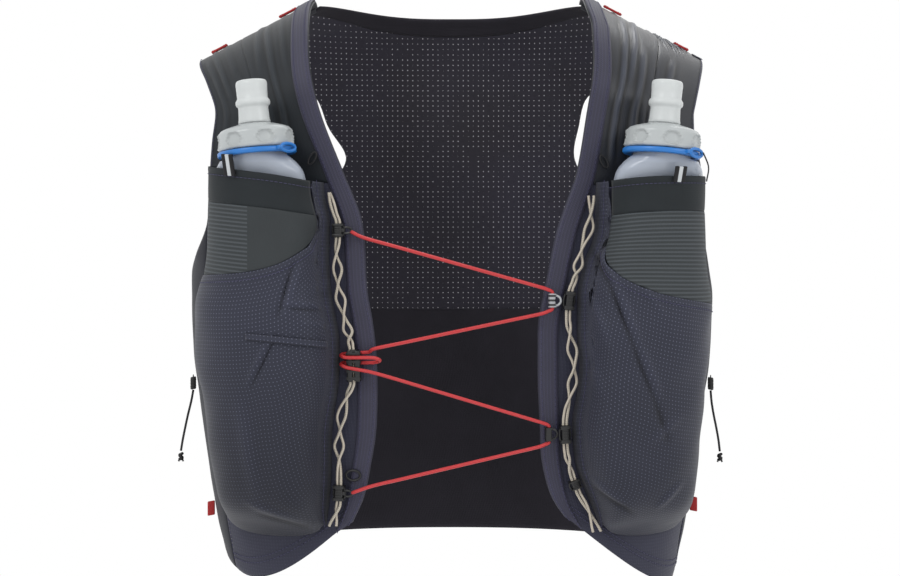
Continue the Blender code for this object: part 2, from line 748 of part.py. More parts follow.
for side, tag in ((-1, "_l"), (1, "_r")):
    mouth, seam = (1, 2) if side < 0 else (3, 4)

    grid = []
    for j in range(3):
        line = []
        for i in range(12):
            u = mesh_share * i / 11
            top = read(mouth_rows, mouth, u)
            line.append(pocket_point(side, u, (top - band_share * j / 2) * vest_height))
        grid.append(line)
    shell("pocket_band" + tag, grid, 0.0, pocket_cloth, mesh_dark, 0.8)

    grid = []
    for j in range(5):
        line = []
        for i in range(12):
            u = mesh_share * i / 11
            top = read(mouth_rows, mouth, u) - band_share - 0.0012
            end = read(mouth_rows, seam, u) + 0.0012
            if end > top - 0.004:
                end = top - 0.004
            line.append(pocket_point(side, u, mix(top, end, j / 4) * vest_height))
        grid.append(line)
    shell("pocket_mesh" + tag, grid, 0.0, pocket_cloth, mesh_dark, 0.85)

    grid = []
    for j in range(12):
        line = []
        for i in range(14):
            u = mesh_share * i / 11 if i < 12 else mix((mesh_share + 1) / 2, 1.0, i - 12)
            start = read(mouth_rows, seam, u) - 0.0016
            lowest = read(mouth_rows, mouth, u) - band_share - 0.0080
            start = min(start, lowest)
            if i > 11:
                start = read(mouth_rows, mouth, u)
            end = pocket_end + pocket_sag * 4 * u * (1 - u)
            line.append(pocket_point(side, u, mix(start, end, (j / 11) ** 0.9) * vest_height))
        grid.append(line)
    shell("lower_pocket" + tag, grid, 0.0, pocket_cloth, indigo_light, 0.8)


def lean_frame(side):
    """Frame at the flask's neck: its Z axis leans out and back as the flask stands."""
    z = neck_level * vest_height
    base, across, out = flask_frame(side, z)
    middle = base + out * (cap_radius + 0.0018)
    up = (Vector((0.0, 0.0, 1.0)) + across * neck_lean + out * -neck_tip).normalized()
    right = up.cross(out).normalized()
    ahead = up.cross(right).normalized()
    return Matrix((
        (right.x, ahead.x, up.x, middle.x),
        (right.y, ahead.y, up.y, middle.y),
        (right.z, ahead.z, up.z, middle.z),
        (0.0, 0.0, 0.0, 1.0),
    ))


for side, tag in ((-1, "_l"), (1, "_r")):
    frame = lean_frame(side)
    # height down the flask (share of flask_length), half width, half depth (shares)
    body_rows = [
        (0.000, 0.800, 0.980),
        (0.030, 0.940, 0.940),
        (0.075, 0.980, 0.920),
        (0.160, 0.980, 0.960),
        (0.500, 1.000, 0.980),
        (0.780, 1.000, 0.980),
        (0.910, 0.960, 0.900),
        (0.970, 0.820, 0.620),
        (1.000, 0.600, 0.180),
    ]
    sides = 12
    outer, inner = [], []
    for down, wide, deep in body_rows:
        z = frame.translation.z - ring_height - shoulder_drop - down * flask_length
        base, across, out = flask_frame(side, z)
        blend = max(0.0, 1 - down / 0.16) ** 1.5
        middle = base + out * (2 * gap + flask_half_depth)
        lined = frame @ Vector((0.0, 0.0, z - frame.translation.z))
        middle = middle.lerp(Vector((lined.x, lined.y, z)), blend)
        for rings, thin in ((outer, 0.0), (inner, flask_wall)):
            a = flask_half_width * wide - thin
            b = flask_half_depth * deep - thin
            lift = thin if down > 0.99 else 0.0
            ring = []
            for i in range(sides):
                turn = math.tau * i / sides
                ring.append(middle + across * (a * math.cos(turn)) + out * (b * math.sin(turn))
                            + Vector((0.0, 0.0, lift)))
            rings.append(ring)
    neck = []
    base, across, out = flask_frame(side, frame.translation.z)
    local = frame.inverted().to_3x3() @ across
    start = math.atan2(local.y, local.x)
    spin = 1.0 if across.cross(out).z > 0 else -1.0
    foot_height = -ring_height - 0.0012
    for radius, height in ((neck_radius, foot_height), (neck_radius, neck_height),
                           (neck_radius - 0.0016, neck_height), (neck_radius - 0.0016, foot_height)):
        ring = []
        for i in range(sides):
            turn = start + spin * math.tau * i / sides
            ring.append(frame @ Vector((radius * math.cos(turn), radius * math.sin(turn), height)))
        neck.append(ring)
    rings = outer[::-1] + neck + inner
    loops("flask" + tag, rings, film, 0.15)

    # radius, height of the cap's closed outline, the thread side first
    profile = [
        (neck_radius + 0.0005, 0.0), (cap_radius - 0.0010, 0.0), (cap_radius, 0.0020),
        (cap_radius - 0.0006, cap_height * 0.62), (cap_radius * 0.90, cap_height * 0.76),
        (valve_radius * 1.12, cap_height), (0.0030, cap_height),
        (0.0030, neck_height + 0.0008), (neck_radius + 0.0005, neck_height + 0.0008),
    ]
    lifted = frame @ Matrix.Translation((0, 0, 0.0003))
    cap = turned("flask_cap" + tag, lifted, profile, 16, frosted, 0.35, 0.0012)
    pivot(cap, frame.translation)
    top = cap_height + 0.0003 + 0.0004
    r = valve_radius
    profile = [
        (r * 0.50, 0.0), (r, 0.0), (r * 1.00, valve_height * 0.34), (r * 1.10, valve_height * 0.42),
        (r * 1.10, valve_height * 0.52), (r * 0.99, valve_height * 0.60),
        (r * 1.02, valve_height * 0.92), (r * 0.86, valve_height),
        (0.0012, valve_height), (0.0012, valve_height - valve_wall),
        (r * 0.50, valve_height - valve_wall),
    ]
    seat = frame @ Matrix.Translation((0, 0, top))
    valve = turned("bite_valve" + tag, seat, profile, 10, frosted, 0.5)
    pivot(valve, frame.translation)

    profile = [
        (neck_radius + 0.0005, -ring_height - 0.0003), (cap_radius + 0.0004, -ring_height - 0.0003),
        (cap_radius + 0.0004, -0.0003), (neck_radius + 0.0005, -0.0003),
    ]
    turned("cap_ring" + tag, frame, profile, 16, ring_blue, 0.4)


def panel_frame(side, x_share, z, lift):
    """Point over the front with its across, outward and upward axes."""
    point, normal = front_at(side, x_share, z)
    above = front_at(side, x_share, z + 0.004)[0]
    up = (above - point).normalized()
    across = up.cross(normal).normalized()
    return point + normal * lift, across, normal, up


for side, tag in ((-1, "_l"), (1, "_r")):
    rows = pick(daisy_rows, side)
    strands = ([], [])
    heights = [rows[0][0]]
    for a, b in zip(rows, rows[1:]):
        heights += [mix(a[0], b[0], 0.5), b[0]]
    for at in heights:
        x_share, turns, spread = (read(rows, c, at) for c in (1, 2, 3))
        middle, across, normal, up = panel_frame(side, x_share, at * vest_height, daisy_lift)
        phase = math.tau * turns
        half = daisy_orbit / 2
        offset = across * (half * spread * math.cos(phase)) + normal * (half * math.sin(phase))
        strands[0].append(middle - offset)
        strands[1].append(middle + offset)
    tube("daisy_cord" + tag, strands[0], daisy_diameter, cream, 4, 0.9)
    tube("daisy_wave" + tag, strands[1], daisy_diameter, cream, 4, 0.8)

for name, (side, top, end, half) in blocks.items():
    rows = pick(daisy_rows, side)
    ends = []
    for at in (top, end):
        ends.append(panel_frame(side, read(rows, 1, at), at * vest_height, daisy_lift))
    up = (ends[0][0] - ends[1][0]).normalized()
    normal = ends[0][2]
    across = up.cross(normal).normalized()
    normal = across.cross(up)
    middle = (ends[0][0] + ends[1][0]) / 2
    tall = (ends[0][0] - ends[1][0]).length / 2
    shift = across * (half * 0.001 - 0.0036) * (1 if name == "cord_lock_l" else 0)
    body = box(name, middle + shift, (across, normal, up), (half * 0.001, block_half_depth, tall),
               black_plastic, 0.4, 0.0, 0.0008)
    slot = box("slot", middle, (across, normal, up), (0.0026, 0.0014, tall * 1.4), black_plastic)
    cut(body, slot)

for name, (top, end, x_share) in gliders.items():
    middle, across, normal, up = panel_frame(1, x_share, (top + end) / 2 * vest_height, 0.0088)
    tall = (top - end) * vest_height / 2
    mesh = bmesh.new()
    # outline across and up (mm), a bar with a rounded bow on the far side
    outline = [
        (-2.6, -1.0), (1.9, -1.0), (4.8, -0.5), (6.0, -0.2),
        (6.0, 0.2), (4.8, 0.5), (1.9, 1.0), (-2.6, 1.0),
    ]
    for deep in (-0.0026, 0.0026):
        for a, b in outline:
            mesh.verts.new(middle + across * (a * 0.001) + up * (b * tall) + normal * deep)
    mesh.verts.ensure_lookup_table()
    count = len(outline)
    mesh.faces.new(mesh.verts[:count])
    mesh.faces.new(mesh.verts[count:][::-1])
    for i in range(count):
        k = (i + 1) % count
        mesh.faces.new((mesh.verts[i], mesh.verts[k], mesh.verts[count + k], mesh.verts[count + i]))
    bar = finish(name, mesh, silver, 0.35, 0.3, smooth=False)
    hole = bmesh.new()
    turn = Matrix((across, normal, up)).transposed().to_4x4()
    bmesh.ops.create_cone(hole, cap_ends=True, segments=10, radius1=0.00165, radius2=0.00165,
                          depth=tall * 3, matrix=Matrix.Translation(middle) @ turn)
    cut(bar, finish("hole", hole, silver))
    window = box("window", middle + across * 0.0034, (across, normal, up),
                 (0.0010, 0.006, tall * 0.40), silver)
    cut(bar, window)

points = []
for z_share, x_share, lift in lace_rows:
    side = -1 if x_share < 0 else 1
    points.append(panel_frame(side, abs(x_share), z_share * vest_height, lift * 0.001)[0])
route = [points[0]]
for a, b in zip(points, points[1:]):
    count = 1 if (b - a).length < 0.03 else 2
    for k in range(1, count + 1):
        route.append(a.lerp(b, k / count))
tube("lace_cord", route, lace_diameter, lace_red, 5, 0.6)

for name, (side, x_share, drop, length, turn) in shoulder_tabs.items():
    share = x_share * chest_half_width / shoulder_half_width
    angle = side * math.degrees(math.asin(share ** (section_power / 2)))
    point, normal = place(angle, drop, cloth + gap + 0.0011)
    along = (place(angle + 1.5, drop)[0] - place(angle - 1.5, drop)[0]).normalized()
    other = normal.cross(along).normalized()
    box(name, point, (along, other, normal), (length / 2, 0.0028, 0.0010), tab_red, 0.8, 0.0, 0.0004)

for side, tag in ((-1, "_l"), (1, "_r")):
    point, normal = place(side * 84.0, edge_drop(outer_rows, side, -0.800) + 0.004, cloth + gap + 0.0030)
    other = Vector((0, 0, 1)).cross(normal).normalized()
    box("side_tab" + tag, point, (other, normal, Vector((0, 0, 1))), (0.0010, 0.0024, 0.0048), tab_red, 0.8)

for side, tag in ((-1, "_l"), (1, "_r")):
    # share across the pocket, height of the tab's foot (share), length
    u, foot_z, length = (0.435, -0.251, 0.0150) if side < 0 else (0.495, -0.261, 0.0110)
    point, normal = pocket_point(side, u, foot_z * vest_height)
    up = (Vector((0, 0, 1)) + flask_frame(side, foot_z * vest_height)[2] * 0.35).normalized()
    across = up.cross(normal).normalized()
    normal = across.cross(up)
    middle = point + normal * (pocket_cloth + gap + 0.0014) + up * (length / 2 - 0.002)
    box("loop_tab" + tag, middle, (across, normal, up), (0.0042, 0.0007, length / 2), black_plastic, 0.8)

grid = []
for j in range(2):
    line = []
    for i in range(6, 12):
        share = (i - 6) / 5
        z = mix(-0.516, -0.530, share) - 0.011 * j
        line.append(pocket_point(-1, mesh_share * i / 11, z * vest_height))
    grid.append(line)
shell("pocket_welt_l", grid, pocket_cloth + gap, pocket_cloth + gap + 0.0010, indigo, 0.8)

middle, across, normal, up = panel_frame(-1, 0.362, -0.754 * vest_height, 0.0046)
points = []
for k in range(10):
    turn = math.tau * k / 10
    points.append(middle + across * (0.0048 * math.cos(turn)) + up * (0.0034 * math.sin(turn)))
rings = []
for k, point in enumerate(points):
    ahead = (points[(k + 1) % 10] - points[k - 1]).normalized()
    side_axis = ahead.cross(normal).normalized()
    ring = []
    for i in range(4):
        turn = math.tau * i / 4
        ring.append(point + (side_axis * math.cos(turn) + normal * math.sin(turn)) * 0.0008)
    rings.append(ring)
loops("ring_lower_l", rings, black_plastic, 0.4, open_ends=True)

for side, tag in ((-1, "_l"), (1, "_r")):
    rows = pick(pull_rows, side)
    toggle_z = rows[0][0] + 0.012
    drop = edge_drop(outer_rows, side, toggle_z)
    point, normal = place(side * 86.0, drop, cloth + gap + 0.0024)
    other = Vector((0, 0, 1)).cross(normal).normalized()
    up = Vector((0, 0, 1))
    box("side_toggle" + tag, point, (other, normal, up), (0.0021, 0.0020, 0.0044),
        black_plastic, 0.4, 0.0, 0.0006)
    hang = point - up * (0.0044 + gap)
    points = []
    for z_share, away, ahead in rows:
        z = hang.z + (z_share - rows[0][0]) * vest_height
        points.append(Vector((hang.x + side * away * 0.001, hang.y + ahead * 0.001, z)))
    curve = bpy.data.curves.new("pull_cord" + tag, "CURVE")
    curve.dimensions = "3D"
    curve.bevel_depth = pull_diameter / 2
    curve.bevel_resolution = 2
    curve.use_fill_caps = True
    spline = curve.splines.new("POLY")
    spline.points.add(pull_count)
    table = [(k, p.x, p.y, p.z) for k, p in enumerate(points)]
    for k in range(pull_count + 1):
        at = (len(points) - 1) * k / pull_count
        spline.points[k].co = (read(table, 1, at), read(table, 2, at), read(table, 3, at), 1.0)
    curve.materials.append(material("pull_cord" + tag + "_finish", black_plastic, 0.8))
    cord = bpy.data.objects.new("pull_cord" + tag, curve)
    bpy.context.scene.collection.objects.link(cord)
    knot = points[-1] - up * (gap + 0.0036)
    box("cord_knot" + tag, knot, (Vector((1, 0, 0)), Vector((0, 1, 0)), up), (0.0022, 0.0020, 0.0034),
        black_plastic, 0.8, 0.0, 0.0009)
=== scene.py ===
# Running hydration vest with two soft flasks, dressed over its frame.
import math

import bmesh
import bpy
import numpy as np
from mathutils import Matrix, Vector


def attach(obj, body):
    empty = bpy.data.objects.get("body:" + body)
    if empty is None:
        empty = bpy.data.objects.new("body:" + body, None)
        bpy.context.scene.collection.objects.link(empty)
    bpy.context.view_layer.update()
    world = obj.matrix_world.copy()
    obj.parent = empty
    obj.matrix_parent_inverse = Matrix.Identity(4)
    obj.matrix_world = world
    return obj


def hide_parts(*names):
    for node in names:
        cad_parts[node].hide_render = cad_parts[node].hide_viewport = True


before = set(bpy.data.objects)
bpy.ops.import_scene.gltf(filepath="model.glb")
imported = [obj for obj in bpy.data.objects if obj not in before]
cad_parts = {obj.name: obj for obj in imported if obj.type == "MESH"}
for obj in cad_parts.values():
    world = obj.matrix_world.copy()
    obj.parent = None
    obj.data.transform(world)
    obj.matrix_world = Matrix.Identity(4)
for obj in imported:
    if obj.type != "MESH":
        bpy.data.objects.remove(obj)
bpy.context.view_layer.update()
print("frame loaded")

mm = 0.001
sides = ((-1, "_l"), (1, "_r"))
columnOf = {-1: 1, 1: 2}
east, north, upward = np.eye(3)

studio = {"lens": 120.0, "cameraAt": (-0.0014, -2.1, -0.177), "floorZ": -0.62, "sky": 1.0}

scene = bpy.context.scene
camera = bpy.data.objects.new("camera", bpy.data.cameras.new("camera"))
camera.data.lens = studio["lens"]
camera.data.sensor_width = 36.0
camera.location = studio["cameraAt"]
camera.rotation_euler = (math.pi / 2, 0.0, 0.0)
scene.collection.objects.link(camera)
scene.camera = camera
scene.view_settings.view_transform = "Standard"

sky = bpy.data.worlds.new("studio sky")
sky.use_nodes = True
sky.node_tree.nodes["Background"].inputs["Color"].default_value = (1.0, 1.0, 1.0, 1.0)
sky.node_tree.nodes["Background"].inputs["Strength"].default_value = studio["sky"]
scene.world = sky

# place, size in metres, power in watts
lamps = {
    "key": ((-1.3, -1.5, 1.5), 0.6, 15.0),
    "fill": ((1.5, -1.3, 0.7), 0.6, 6.0),
    "rim": ((0.5, 0.9, 1.4), 0.6, 6.0),
}
for name, (spot, size, power) in lamps.items():
    light = bpy.data.lights.new(name, "AREA")
    light.size = size
    light.energy = power
    lamp = bpy.data.objects.new(name, light)
    lamp.location = spot
    lamp.rotation_euler = (Vector((0, 0, -0.18)) - Vector(spot)).to_track_quat("-Z", "Y").to_euler()
    scene.collection.objects.link(lamp)

# sizes of the vest's form, in metres, degrees and shares, as its frame has them
form = {
    "height": 0.400, "chestHalfWidth": 0.180, "shoulderHalfWidth": 0.190,
    "chestHalfDepth": 0.106, "sectionPower": 2.3, "shoulderRoll": 0.070,
    "neckHalfWidth": 0.093, "neckCrest": 0.023, "shoulderFall": 0.52, "neckRise": 0.40,
    "seamBehind": 0.015, "cloth": 0.0016, "tape": 0.0012, "gap": 0.0004,
    "tapeWidth": 0.012, "sideSeam": 62.0, "chestSeam": -0.268, "armholeFloor": -0.318,
    "armholeScoop": {-1: 0.038, 1: 0.060}, "neckLevel": -0.214, "flaskLean": (0.10, -0.02),
    "capStandOff": 0.0276, "pocketDepth": 0.020, "outerSwell": 2.4, "innerSwell": 5.0,
}
rollQuarter = math.pi / 2 * form["shoulderRoll"]
tall = form["height"]
wide = form["chestHalfWidth"]

# torso: height (share of the vest), half width and half depth (shares of the chest)
torsoRows = [
    (0.10, 1.056, 0.943), (-0.22, 1.056, 0.960), (-0.30, 1.012, 0.970), (-0.37, 1.000, 0.985),
    (-0.47, 1.000, 1.000), (-0.57, 0.989, 0.985), (-0.65, 0.964, 0.968), (-0.75, 0.933, 0.935),
    (-0.84, 0.900, 0.905), (-0.92, 0.860, 0.880), (-1.05, 0.810, 0.850),
]
# outer edge of the fronts: height, x on the left and on the right
outerRows = [
    (0.00, 0.975, 0.965), (-0.052, 0.975, 0.965), (-0.090, 0.935, 0.944), (-0.131, 0.897, 0.920),
    (-0.150, 0.891, 0.911), (-0.191, 0.902, 0.915), (-0.235, 0.910, 0.938), (-0.308, 0.922, 0.950),
    (-0.460, 0.926, 0.953), (-0.572, 0.920, 0.946), (-0.686, 0.899, 0.928), (-0.806, 0.862, 0.890),
    (-0.930, 0.817, 0.853),
]
# inner edge of the fronts: height, x on the left and on the right
innerRows = [
    (0.070, 0.517, 0.494), (0.037, 0.535, 0.506), (0.000, 0.537, 0.524), (-0.079, 0.525, 0.523),
    (-0.152, 0.486, 0.498), (-0.251, 0.400, 0.459), (-0.316, 0.342, 0.409), (-0.353, 0.325, 0.383),
    (-0.444, 0.313, 0.341), (-0.500, 0.292, 0.318), (-0.546, 0.280, 0.316), (-0.604, 0.275, 0.317),
    (-0.679, 0.280, 0.325), (-0.729, 0.297, 0.331), (-0.790, 0.325, 0.367), (-0.834, 0.368, 0.430),
]
# hem of the fronts: height at the outer and the inner end, sag
hemEnds = {-1: (-0.922, -0.834, 0.030), 1: (-0.936, -0.826, 0.020)}
# lines across the back mesh: left and right half span, height of ends and middle, bend
backRows = [
    (0.896, 0.896, -0.482, -0.482, 2.0), (0.900, 0.900, -0.430, -0.415, 2.0),
    (0.900, 0.900, -0.375, -0.350, 2.0), (0.893, 0.893, -0.328, -0.295, 2.0),
    (0.800, 0.820, -0.312, -0.250, 2.0), (0.640, 0.690, -0.288, -0.210, 2.0),
    (0.500, 0.560, -0.250, -0.175, 2.0), (0.430, 0.497, -0.205, -0.140, 2.0),
    (0.500, 0.513, -0.150, -0.105, 2.0), (0.560, 0.555, -0.092, -0.070, 1.8),
    (0.700, 0.700, -0.084, -0.056, 1.6), (0.850, 0.850, -0.074, -0.045, 1.3),
]
# lines across the yoke and the neck band: half span, height of the middle, bend
yokeRows = [(0.970, -0.034, 1.1), (0.880, -0.020, 1.2), (0.760, -0.005, 1.4), (0.586, 0.0125, 2.2)]
neckRows = [(0.582, 0.0145, 2.2), (0.549, 0.0290, 2.3), (0.516, 0.0430, 2.4)]
# inner edge of the pockets: height, x on the left and on the right
pocketEdgeRows = [
    (-0.235, 0.474, 0.534), (-0.284, 0.468, 0.527), (-0.331, 0.446, 0.525), (-0.362, 0.448, 0.516),
    (-0.399, 0.450, 0.484), (-0.454, 0.440, 0.458), (-0.521, 0.414, 0.458), (-0.571, 0.412, 0.466),
    (-0.612, 0.418, 0.458), (-0.671, 0.438, 0.440), (-0.738, 0.442, 0.454), (-0.780, 0.446, 0.488),
    (-0.846, 0.464, 0.548),
]
# outer edge of the pockets, inside the edge of the front: height, left inset, right inset
pocketInsetRows = [
    (-0.235, 0.052, 0.058), (-0.310, 0.066, 0.072), (-0.360, 0.070, 0.072), (-0.420, 0.050, 0.060),
    (-0.466, 0.014, 0.036), (-0.511, 0.008, 0.034), (-0.570, 0.008, 0.042), (-0.620, 0.026, 0.048),
    (-0.700, 0.036, 0.050), (-0.780, 0.040, 0.036),
]
# flask line: height, x on the left and on the right, depth of the pocket over it
flaskRows = [
    (-0.200, 0.664, 0.712, 2.42), (-0.250, 0.660, 0.708, 2.38), (-0.300, 0.656, 0.706, 2.28),
    (-0.380, 0.652, 0.694, 2.21), (-0.460, 0.648, 0.680, 2.20), (-0.620, 0.640, 0.655, 2.17),
    (-0.740, 0.632, 0.640, 2.12), (-0.780, 0.630, 0.634, 2.02), (-0.805, 0.628, 0.632, 1.78),
    (-0.826, 0.628, 0.632, 1.25), (-0.845, 0.628, 0.632, 0.45), (-0.860, 0.628, 0.632, 0.08),
]
# pocket mouth and mesh seam: share across, left mouth and seam, right mouth and seam
mouthRows = [
    (0.00, -0.236, -0.424, -0.256, -0.474), (0.25, -0.241, -0.421, -0.256, -0.468),
    (0.50, -0.249, -0.417, -0.257, -0.456), (0.70, -0.256, -0.404, -0.259, -0.436),
    (0.85, -0.262, -0.384, -0.262, -0.415), (0.93, -0.265, -0.366, -0.264, -0.394),
    (1.00, -0.266, -0.326, -0.266, -0.340),
]


def signedPower(value, exponent):
    return np.copysign(np.abs(value) ** exponent, value)


def mix(a, b, share):
    return a + (b - a) * share


def readRows(rows, column, at):
    # smooth curve through one column of a table
    table = np.array(sorted(rows))
    x, y = table[:, 0], table[:, column]
    last = len(x) - 1
    at = np.clip(np.asarray(at, float), x[0], x[-1])
    k = np.clip(np.searchsorted(x, at, side="left") - 1, 0, last - 1)
    span = x[k + 1] - x[k]
    step = (y[k + 1] - y[k]) / span
    lower = np.maximum(k - 1, 0)
    upper = np.minimum(k + 2, last)
    before = np.where(k > 0, (y[k + 1] - y[lower]) / (x[k + 1] - x[lower]), step)
    after = np.where(k + 2 <= last, (y[upper] - y[k]) / (x[upper] - x[k]), step)
    before = np.where(before * step <= 0, 0.0, before)
    after = np.where(after * step <= 0, 0.0, after)
    t = (at - x[k]) / span
    low = (2 * t ** 3 - 3 * t ** 2 + 1) * y[k] + (t ** 3 - 2 * t ** 2 + t) * span * before
    return low + (3 * t ** 2 - 2 * t ** 3) * y[k + 1] + (t ** 3 - t ** 2) * span * after


def halfWidth(z):
    return wide * readRows(torsoRows, 1, z / tall)


def halfDepth(z):
    return form["chestHalfDepth"] * readRows(torsoRows, 2, z / tall)


def crest(x):
    neck = form["neckHalfWidth"]
    inside = neck - np.abs(x)
    bowl = form["neckRise"] * (neck ** 2 - x ** 2) / (2 * neck)
    return form["neckCrest"] + np.where(inside > 0, bowl, form["shoulderFall"] * inside)


def crestShare(angle):
    return np.sin(np.radians(np.abs(angle))) ** (2 / form["sectionPower"])


def level(angle):
    return crest(form["shoulderHalfWidth"] * crestShare(angle))


def fallen(top, drop):
    roll = form["shoulderRoll"]
    curved = top - roll * (1 - np.cos(drop / roll))
    return np.where(drop < rollQuarter, curved, top - roll - (drop - rollQuarter))


def torso(angle, drop):
    turn = np.radians(angle)
    across = signedPower(np.sin(turn), 2 / form["sectionPower"])
    along = signedPower(np.cos(turn), 2 / form["sectionPower"])
    z = fallen(crest(form["shoulderHalfWidth"] * across), drop)
    reach = np.where(drop < rollQuarter, np.sin(drop / form["shoulderRoll"]), 1.0)
    return np.stack([halfWidth(z) * across, -halfDepth(z) * along * reach, z + 0 * reach], -1)


def unit(vectors):
    return vectors / np.maximum(np.linalg.norm(vectors, axis=-1, keepdims=True), 1e-12)


def place(angle, drop):
    angle, drop = np.broadcast_arrays(np.asarray(angle, float), np.asarray(drop, float))
    point = torso(angle, drop)
    east = torso(angle + 0.4, drop) - torso(angle - 0.4, drop)
    south = torso(angle, drop + 0.0005) - torso(angle, drop - 0.0005)
    normal = unit(np.cross(east, south))
    core = np.stack([point[..., 0] * 0.6, 0 * point[..., 1], np.minimum(point[..., 2], -0.10)], -1)
    facing = np.sum(normal * (point - core), -1, keepdims=True)
    return point, np.where(facing < 0, -normal, normal)


def widthAngle(x, z):
    share = np.minimum(np.abs(x) / halfWidth(z), 0.9999)
    angle = np.degrees(np.arcsin(share ** (form["sectionPower"] / 2)))
    return np.copysign(angle, x), crest(form["shoulderHalfWidth"] * share)


def findAt(x, z):
    angle, top = widthAngle(x, z)
    fall = (top - z) / form["shoulderRoll"]
    curved = form["shoulderRoll"] * np.arccos(np.clip(1 - fall, -1, 1))
    return angle, np.where(fall < 1, curved, rollQuarter + top - form["shoulderRoll"] - z)


def edgeAngle(rows, side, drop):
    x = side * wide * rows[0][columnOf[side]] + 0 * drop
    z = 0 * drop
    for step in range(6):
        top = widthAngle(x, z)[1]
        z = fallen(top, np.maximum(drop, 0.0))
        x = side * wide * readRows(rows, columnOf[side], z / tall)
    return widthAngle(x, z)[0]


def edgeDrop(rows, side, share):
    return findAt(side * wide * readRows(rows, columnOf[side], share), share * tall)[1]


def frontAt(side, u, v):
    # u from outer to inner edge, v 0 at the shoulder seam, 1 at the chest seam, 2 at the hem
    u, v = np.broadcast_arrays(np.asarray(u, float), np.asarray(v, float))
    outZ, inZ, sag = hemEnds[side]
    outSeam = edgeDrop(outerRows, side, form["chestSeam"])
    inSeam = edgeDrop(innerRows, side, form["chestSeam"])
    outHem, inHem = edgeDrop(outerRows, side, outZ), edgeDrop(innerRows, side, inZ)
    low = np.clip(v - 1, 0, None)
    behind = -form["seamBehind"]
    outDrop = np.where(v < 1, mix(behind, outSeam, v), mix(outSeam, outHem, low))
    inDrop = np.where(v < 1, mix(behind, inSeam, v), mix(inSeam, inHem, low))
    drop = mix(outDrop, inDrop, u) + sag * tall * 4 * u * (1 - u) * low ** 5
    angle = mix(edgeAngle(outerRows, side, outDrop), edgeAngle(innerRows, side, inDrop), u)
    return place(angle, drop)


def panelAt(side, share, z):
    angle, drop = findAt(side * wide * np.asarray(share, float), np.asarray(z, float))
    return place(angle, drop)


def flaskAxes(side, z):
    share = readRows(flaskRows, columnOf[side], z / tall)
    point, normal = panelAt(side, share, z)
    base = point + normal * form["cloth"]
    out = unit(normal * np.array([1.0, 1.0, 0.0]))
    across = np.stack([out[..., 1], -out[..., 0], 0 * out[..., 0]], -1)
    return base, across * np.sign(across[..., :1] * side), out


def pocketAt(side, u, z):
    u, z = np.broadcast_arrays(np.asarray(u, float), np.asarray(z, float))
    column = columnOf[side]
    outShare = readRows(outerRows, column, z / tall) - readRows(pocketInsetRows, column, z / tall)
    inShare = readRows(pocketEdgeRows, column, z / tall)
    turn = 0.5 - 0.5 * np.cos(np.pi * np.minimum(1.0, u))
    point, normal = panelAt(side, mix(outShare, inShare, turn), z)
    base, across, out = flaskAxes(side, z)

    def reach(at):
        return np.sum((at - base) * across, -1)

    s = reach(point)
    limit = np.where(s > 0, reach(panelAt(side, outShare, z)[0]), reach(panelAt(side, inShare, z)[0]))
    shape = np.where(s > 0, form["outerSwell"], form["innerSwell"])
    swell = np.maximum(0.0, 1 - np.abs(s / limit) ** shape) ** (1 / shape)
    rise = readRows(flaskRows, 3, z / tall) * form["pocketDepth"] * swell
    return point + normal * (form["cloth"] + 3 * form["gap"]) + out * rise[..., None]


def gridNormals(grid, outward):
    down = np.gradient(grid, axis=0)
    over = np.gradient(grid, axis=1)
    normal = unit(np.cross(over, down))
    return np.where(np.sum(normal * outward, -1, keepdims=True) < 0, -normal, normal)


def pocketSheet(side, u, z):
    grid = pocketAt(side, u, z)
    return grid, gridNormals(grid, flaskAxes(side, z)[2])


def leanFrame(side):
    z = form["neckLevel"] * tall
    base, across, out = (Vector(v) for v in flaskAxes(side, np.array(z)))
    middle = base + out * form["capStandOff"]
    up = (Vector((0.0, 0.0, 1.0)) + across * form["flaskLean"][0] + out * form["flaskLean"][1]).normalized()
    right = up.cross(out).normalized()
    ahead = up.cross(right).normalized()
    return Matrix((
        (right.x, ahead.x, up.x, middle.x), (right.y, ahead.y, up.y, middle.y),
        (right.z, ahead.z, up.z, middle.z), (0.0, 0.0, 0.0, 1.0),
    ))


# finishes

def linear(hexText):
    parts = [int(hexText[k:k + 2], 16) / 255 for k in (1, 3, 5)]
    return tuple(p / 12.92 if p <= 0.04045 else ((p + 0.055) / 1.055) ** 2.4 for p in parts) + (1.0,)


def addNode(tree, kind, settings=None, inputs=None):
    node = tree.nodes.new(kind)
    for name, value in (settings or {}).items():
        setattr(node, name, value)
    for name, value in (inputs or {}).items():
        if isinstance(value, bpy.types.NodeSocket):
            tree.links.new(value, node.inputs[name])
        else:
            node.inputs[name].default_value = value
    return node


def newFinish(name, base, roughness, metallic=0.0):
    mat = bpy.data.materials.new(name)
    mat.use_nodes = True
    shader = mat.node_tree.nodes["Principled BSDF"]
    shader.inputs["Base Color"].default_value = linear(base)
    shader.inputs["Roughness"].default_value = roughness
    shader.inputs["Metallic"].default_value = metallic
    return mat, mat.node_tree, shader


def mathNode(tree, operation, a, b=0.0):
    return addNode(tree, "ShaderNodeMath", {"operation": operation}, {0: a, 1: b}).outputs[0]


def coordsOf(tree, kind="Object"):
    return addNode(tree, "ShaderNodeTexCoord").outputs[kind]


def splitCoords(tree, kind="Object"):
    return addNode(tree, "ShaderNodeSeparateXYZ", None, {0: coordsOf(tree, kind)}).outputs


def clothGrid(tree, acrossMm, downMm, flat=False):
    # two sine waves over the cloth's own UV map, which is in millimetres, or straight from behind
    parts = splitCoords(tree, "Object" if flat else "UV")
    pace = math.tau / mm if flat else math.tau
    return [mathNode(tree, "SINE", mathNode(tree, "MULTIPLY", parts[axis], pace / pitch))
            for axis, pitch in ((0, acrossMm), (2 if flat else 1, downMm))]


